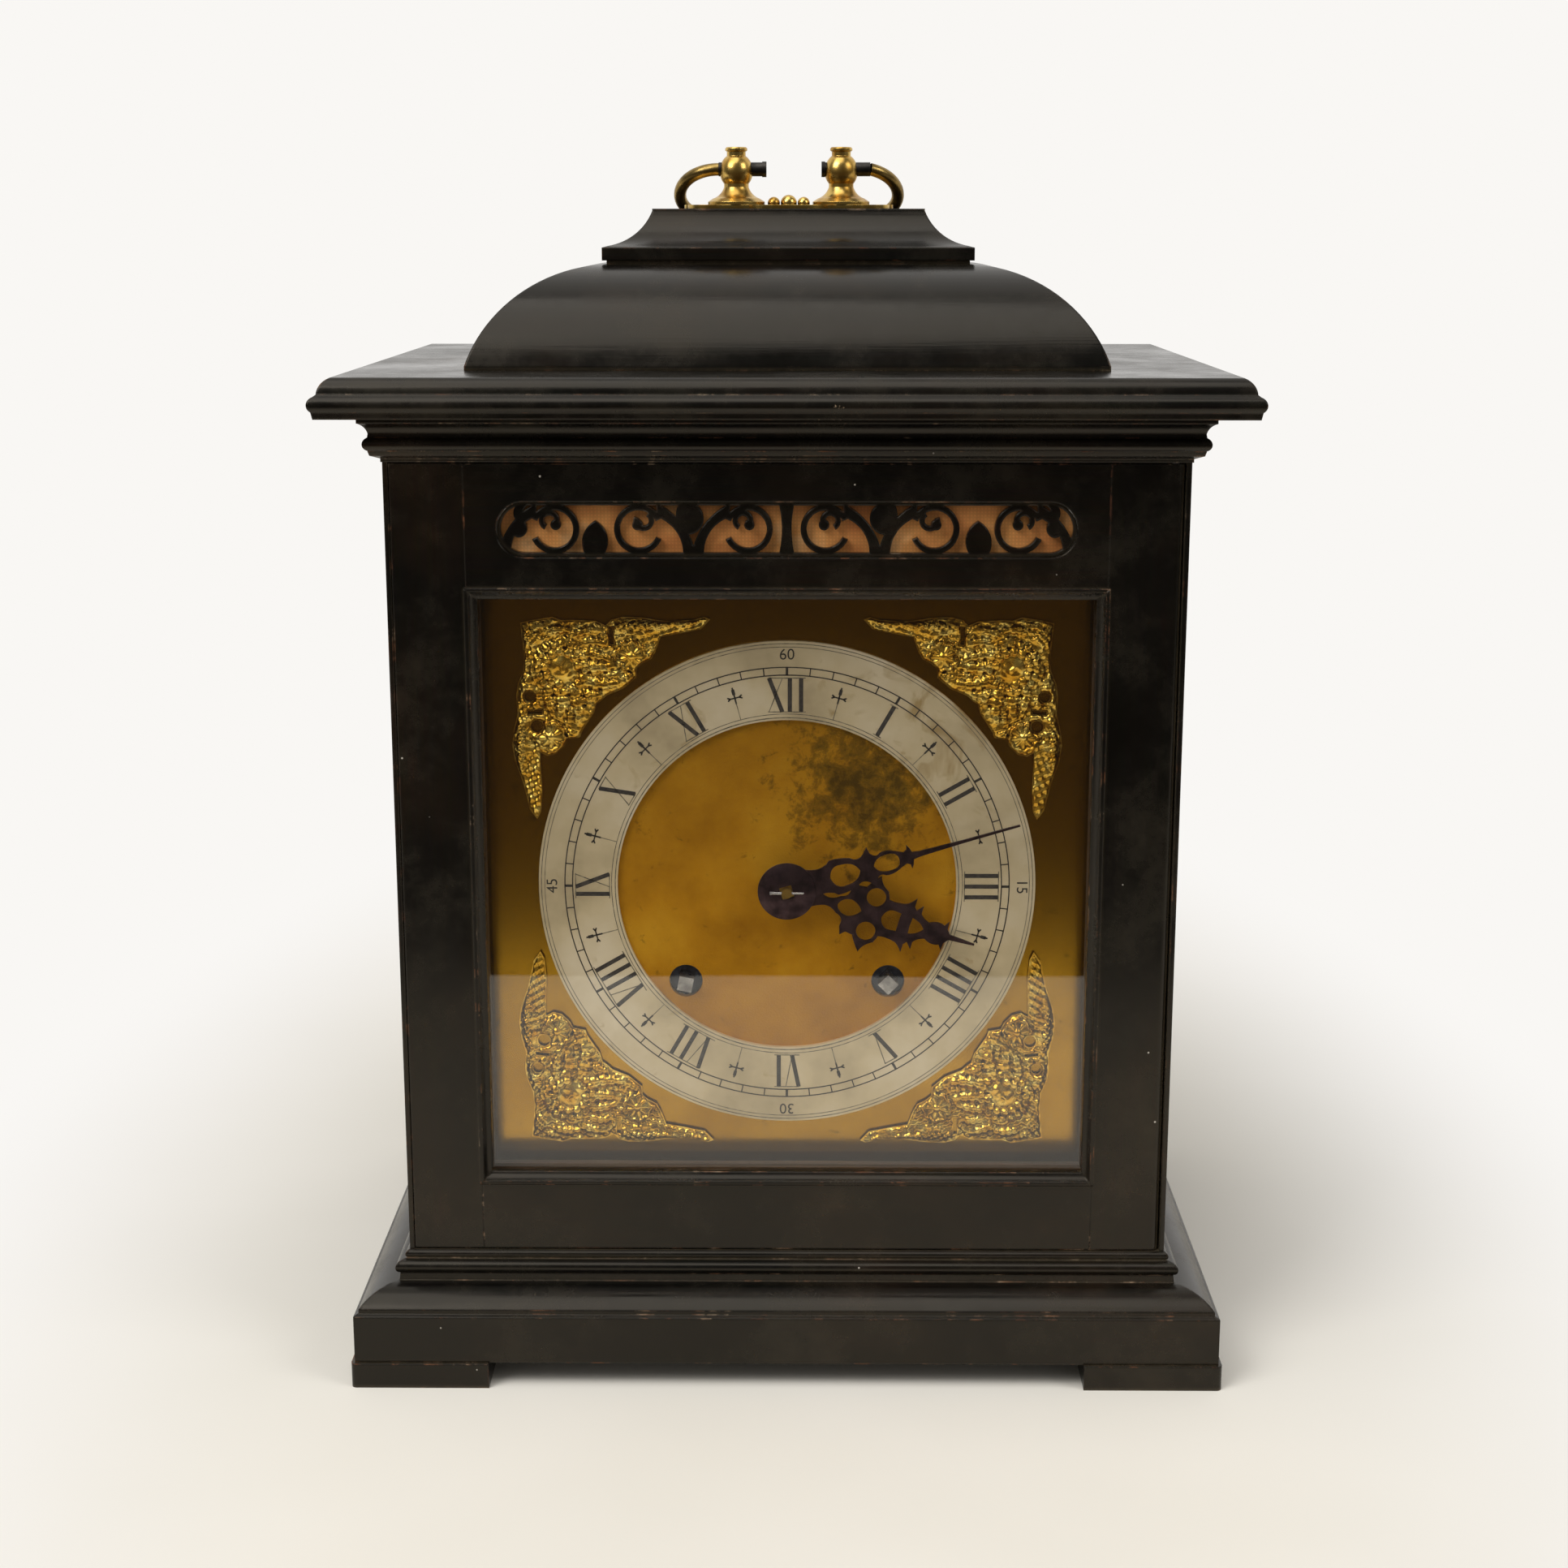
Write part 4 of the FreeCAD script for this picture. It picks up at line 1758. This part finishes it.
def motion_work():
    """Cannon pinion, minute wheel on its stud, and hour wheel."""
    c = cells
    centre, stud = SPOTS["centre"], SPOTS["minute"]
    to_stud = bearing(centre, stud)
    cannon_layer = (front_plate[0] - 4.6, front_plate[0] - 2.4)
    minute_layer = (front_plate[0] - 4.2, front_plate[0] - 3.0)
    hour_layer = (front_plate[0] - 7.0, front_plate[0] - 5.8)
    leaves = fixed("cannon_leaves", toothed(centre, c.cannon_teeth, c.minute_module, to_stud, cannon_layer,
                                            pinion=True))
    hand_back = front + c.minute_hand_depth + c.hand_thick
    pipe = rod("cannon_pipe", "Y", c.cannon_radius, (hand_back, cannon_layer[1]), centre)
    half = c.cannon_square / 2
    square = box("cannon_square_end", (-half, half),
                 (front + c.minute_hand_depth - c.collet_thick + 0.4, hand_back + 0.5),
                 (dial_z - half, dial_z + half))
    square = spin(square, c.minute_angle)
    bore = rod("cannon_bore", "Y", c.centre_arbor_radius + c.running,
               (front, front_plate[0]), centre)
    whole = fuse("cannon_whole", leaves, pipe, square)
    subpart("cannon_pinion", cut("cannon_body", whole, bore))
    phase = meshed(to_stud, c.cannon_teeth, to_stud, c.minute_teeth)
    wheel = fixed("minute_teeth", toothed(stud, c.minute_teeth, c.minute_module, phase, minute_layer,
                                          rim=1.8, hub=4.4))
    pinion = fixed("minute_pinion", toothed(stud, c.minute_pinion_teeth, c.hour_module, to_stud + 180,
                                            (hour_layer[0] - 0.4, minute_layer[0] + 0.1), pinion=True))
    bore = rod("minute_bore", "Y", 1.1 + c.running, (hour_layer[0] - 2, front_plate[0]), stud)
    sleeve = rod("minute_sleeve", "Y", 1.9, (minute_layer[0], front_plate[0] - 0.3), stud)
    subpart("minute_wheel", cut("minute_wheel_body", fuse("minute_whole", wheel, pinion, sleeve), bore))
    phase = meshed(to_stud + 180, c.minute_pinion_teeth, to_stud + 180, c.hour_teeth)
    wheel = fixed("hour_teeth", toothed(centre, c.hour_teeth, c.hour_module, phase, hour_layer,
                                        rim=2.2, hub=5.0))
    hand_back = front + c.hour_hand_depth
    pipe = rod("hour_pipe", "Y", c.hour_pipe_radius, (hand_back, hour_layer[1]), centre)
    bore = rod("hour_bore", "Y", c.cannon_radius + c.running, (hand_back - 2, hour_layer[1] + 2), centre)
    subpart("hour_wheel", cut("hour_wheel_body", fuse("hour_whole", wheel, pipe), bore))


def minute_stud():
    """The stud in the front plate that carries the minute wheel; it is riveted to the plate."""
    stud = SPOTS["minute"]
    shaft = rod("minute_stud", "Y", 1.1, (front_plate[0] - 8.2, front_plate[1]), stud)
    plate = SUBPARTS["front_plate"]
    plate.Label = "front_plate_drilled"
    subpart("front_plate", fuse("front_plate_with_stud", plate, shaft))


def striking_train():
    """Pin wheel, fly and hammer."""
    c = cells
    pin, fly, hammer = SPOTS["pin"], SPOTS["fly"], SPOTS["hammer"]
    great = bearing(SPOTS["striking"], pin)
    phase = meshed(great, c.barrel_teeth, great, c.barrel_pinion_teeth)
    pinion_layer = (GREAT_LAYER[0] - 0.4, GREAT_LAYER[1] + 0.4)
    pinion = fixed("pin_wheel_pinion", toothed(pin, c.barrel_pinion_teeth, c.barrel_module, phase,
                                               pinion_layer, pinion=True))
    to_fly = bearing(pin, fly)
    wheel = fixed("pin_wheel_teeth", toothed(pin, c.pin_teeth, c.pin_module, to_fly, INTER_LAYER,
                                             rim=2.6, hub=4.2))
    count = 8
    pins = [
        rod(
            f"lifting_pin_{n}",
            "Y",
            0.7,
            (INTER_LAYER[1] - 0.4, INTER_LAYER[1] + 3.0),
            (
                pin[0] + float(c.pin_circle + 0.9) * math.cos(2 * math.pi * n / count),
                pin[1] + float(c.pin_circle + 0.9) * math.sin(2 * math.pi * n / count),
            ),
        )
        for n in range(count)
    ]
    subpart("pin_wheel", fuse("pin_wheel_body", pinion, wheel, *pins, *arbor("pin", pin, c.arbor_radius)))
    phase = meshed(to_fly, c.pin_teeth, to_fly, c.fly_teeth)
    leaves = fixed("fly_leaves", toothed(fly, c.fly_teeth, c.pin_module, phase,
                                         (INTER_LAYER[0] - 1.0, INTER_LAYER[1] + 1.0), pinion=True))
    vane = box("fly_vane", (fly[0] - 10.5, fly[0] + 10.5), layer(3.0, 16.0), (fly[1] - 0.5, fly[1] + 0.5))
    subpart("fly", fuse("fly_body", leaves, vane, *arbor("fly", fly, c.arbor_radius)))
    gong_y = front + c.gong_depth
    shaft = rod("hammer_shaft", "Y", c.centre_arbor_radius, (front_plate[1] + 0.3, gong_y + 1.5), hammer)
    pivot = rod("hammer_pivot", "Y", c.train_pivot_radius, (front_plate[0] + 0.3, front_plate[1] + 1), hammer)
    lean = math.radians(150)
    reach = gong_turns()[-2][1] + float(c.gong_wire) / 2 + 1.0 + 5.0
    head = (reach * math.cos(lean), float(gong_z) + reach * math.sin(lean))
    run = V(head[0] - hammer[0], 0, head[1] - hammer[1])
    arm = Part.makeCylinder(1.3, run.Length - 1.0, V(hammer[0], float(gong_y), hammer[1]), run)
    block = Part.makeCylinder(
        4.0,
        10.0,
        V(head[0] + 5 * math.cos(lean), float(gong_y), head[1] + 5 * math.sin(lean)),
        V(-math.cos(lean), 0, -math.sin(lean)),
    )
    tail_y = float(INTER_LAYER[1]) + 1.2
    away = V(pin[0] - hammer[0], 0, pin[1] - hammer[1])
    tail_length = away.Length - float(c.pin_circle + 0.9) - 1.6
    across = V(-away.z, 0, away.x).normalize() * 1.2
    start = V(hammer[0], tail_y, hammer[1])
    end = start + away.normalize() * tail_length
    corners = [start - across, start + across, end + across, end - across]
    tail = Part.Face(Part.makePolygon(corners + corners[:1])).extrude(V(0, 1.2, 0))
    subpart("hammer", fuse("hammer_body", shaft, pivot, fixed("hammer_arm", arm.fuse(block)),
                           fixed("hammer_tail", tail)))


# ------------------------------------------------------------------ gong
def gong_turns():
    """Half turns of the gong's wire, outwards: (centre, radius, side), side 1 above the centre line."""
    step = float(cells.gong_pitch) / 2
    centre, radius, side = 8.0, 8.0, -1
    turns = []
    for number in range(int(float(cells.gong_half_turns)) + 1):
        turns.append((centre, radius, side))
        end = centre - radius * side
        if number == 0:
            centre, radius = 0.0, 16.0
        else:
            radius += step
            centre = end + radius * side
        side = -side
    return turns


def gong():
    """A coiled steel wire whose inner end is fast in a block on a pillar."""
    c = cells
    y, z = float(front + c.gong_depth), float(gong_z)
    wire = float(c.gong_wire) / 2
    edges, points = [], []
    for centre, radius, side in gong_turns():

        def at(share, centre=centre, radius=radius, side=side):
            turn = math.pi * share
            return V(centre + radius * side * math.cos(turn), y, z + radius * side * math.sin(turn))

        edges.append(Part.Arc(at(0), at(0.5), at(1)).toShape())
        points.append([at(step / 18) for step in range(19)])
    start = points[0][0]
    stub = start + V(0, 0, 6)
    path = Part.Wire([Part.makeLine(stub, start)] + edges)
    profile = Part.Wire(Part.makeCircle(wire, stub, V(0, 0, 1)))
    shell = Part.BRepOffsetAPI.MakePipeShell(path)
    shell.add(profile)
    shell.build()
    shell.makeSolid()
    coil = shell.shape()
    gaps = []
    for number, turn in enumerate(points):
        for after, other in enumerate(points[number + 1:], number + 1):
            for a in turn:
                # beside the shared end of two half turns, only what is a quarter turn on counts
                far = other[9:] if after == number + 1 else other
                near = a if after > number + 1 or a in turn[:10] else None
                if near is not None:
                    gaps += [(near - b).Length - 2 * wire for b in far]
    print(f"gong: least gap between turns {min(gaps):.2f} mm, wire length {path.Length:.0f} mm")
    back = y + 2.5
    block = Part.makeBox(11, 9, 12, V(start.x - 5.5, y - 3.5, start.z - 1.0))
    post_y = back + 5.5
    post = Part.makeCylinder(4.0, start.z + 9 - float(c.body_bottom), V(start.x, post_y, float(c.body_bottom)))
    neck = Part.makeBox(8, 6, 8, V(start.x - 4, y, start.z + 0.5))
    foot = Part.makeCylinder(11.0, 4.0, V(start.x, post_y, float(c.body_bottom)))
    holder = block.multiFuse([neck, post, foot]).removeSplitter()
    subpart("gong", fixed("gong_body", coil.fuse(holder)))


# ------------------------------------------------------------------ build
case_base()
case_sides()
case_top()
front_door()
back_door()
dial()
minute_hand()
hour_hand()
handle()
plates()
minute_stud()
barrels()
going_train()
pallets_and_pendulum()
motion_work()
striking_train()
gong()
doc.recompute()

for thing in doc.Objects:
    if "Invalid" in thing.State or "Error" in thing.State:
        raise RuntimeError(f"{thing.Name} failed: {thing.State}")
os.makedirs("parts", exist_ok=True)
for name, thing in SUBPARTS.items():
    shape = thing.Shape
    if shape.isNull() or not shape.isValid() or not shape.Solids:
        raise RuntimeError(f"{name} has no valid solid")
    shape.exportStep(f"parts/{name}.step")
print(f"{len(SUBPARTS)} sub-parts, {sum(len(t.Shape.Solids) for t in SUBPARTS.values())} solids")
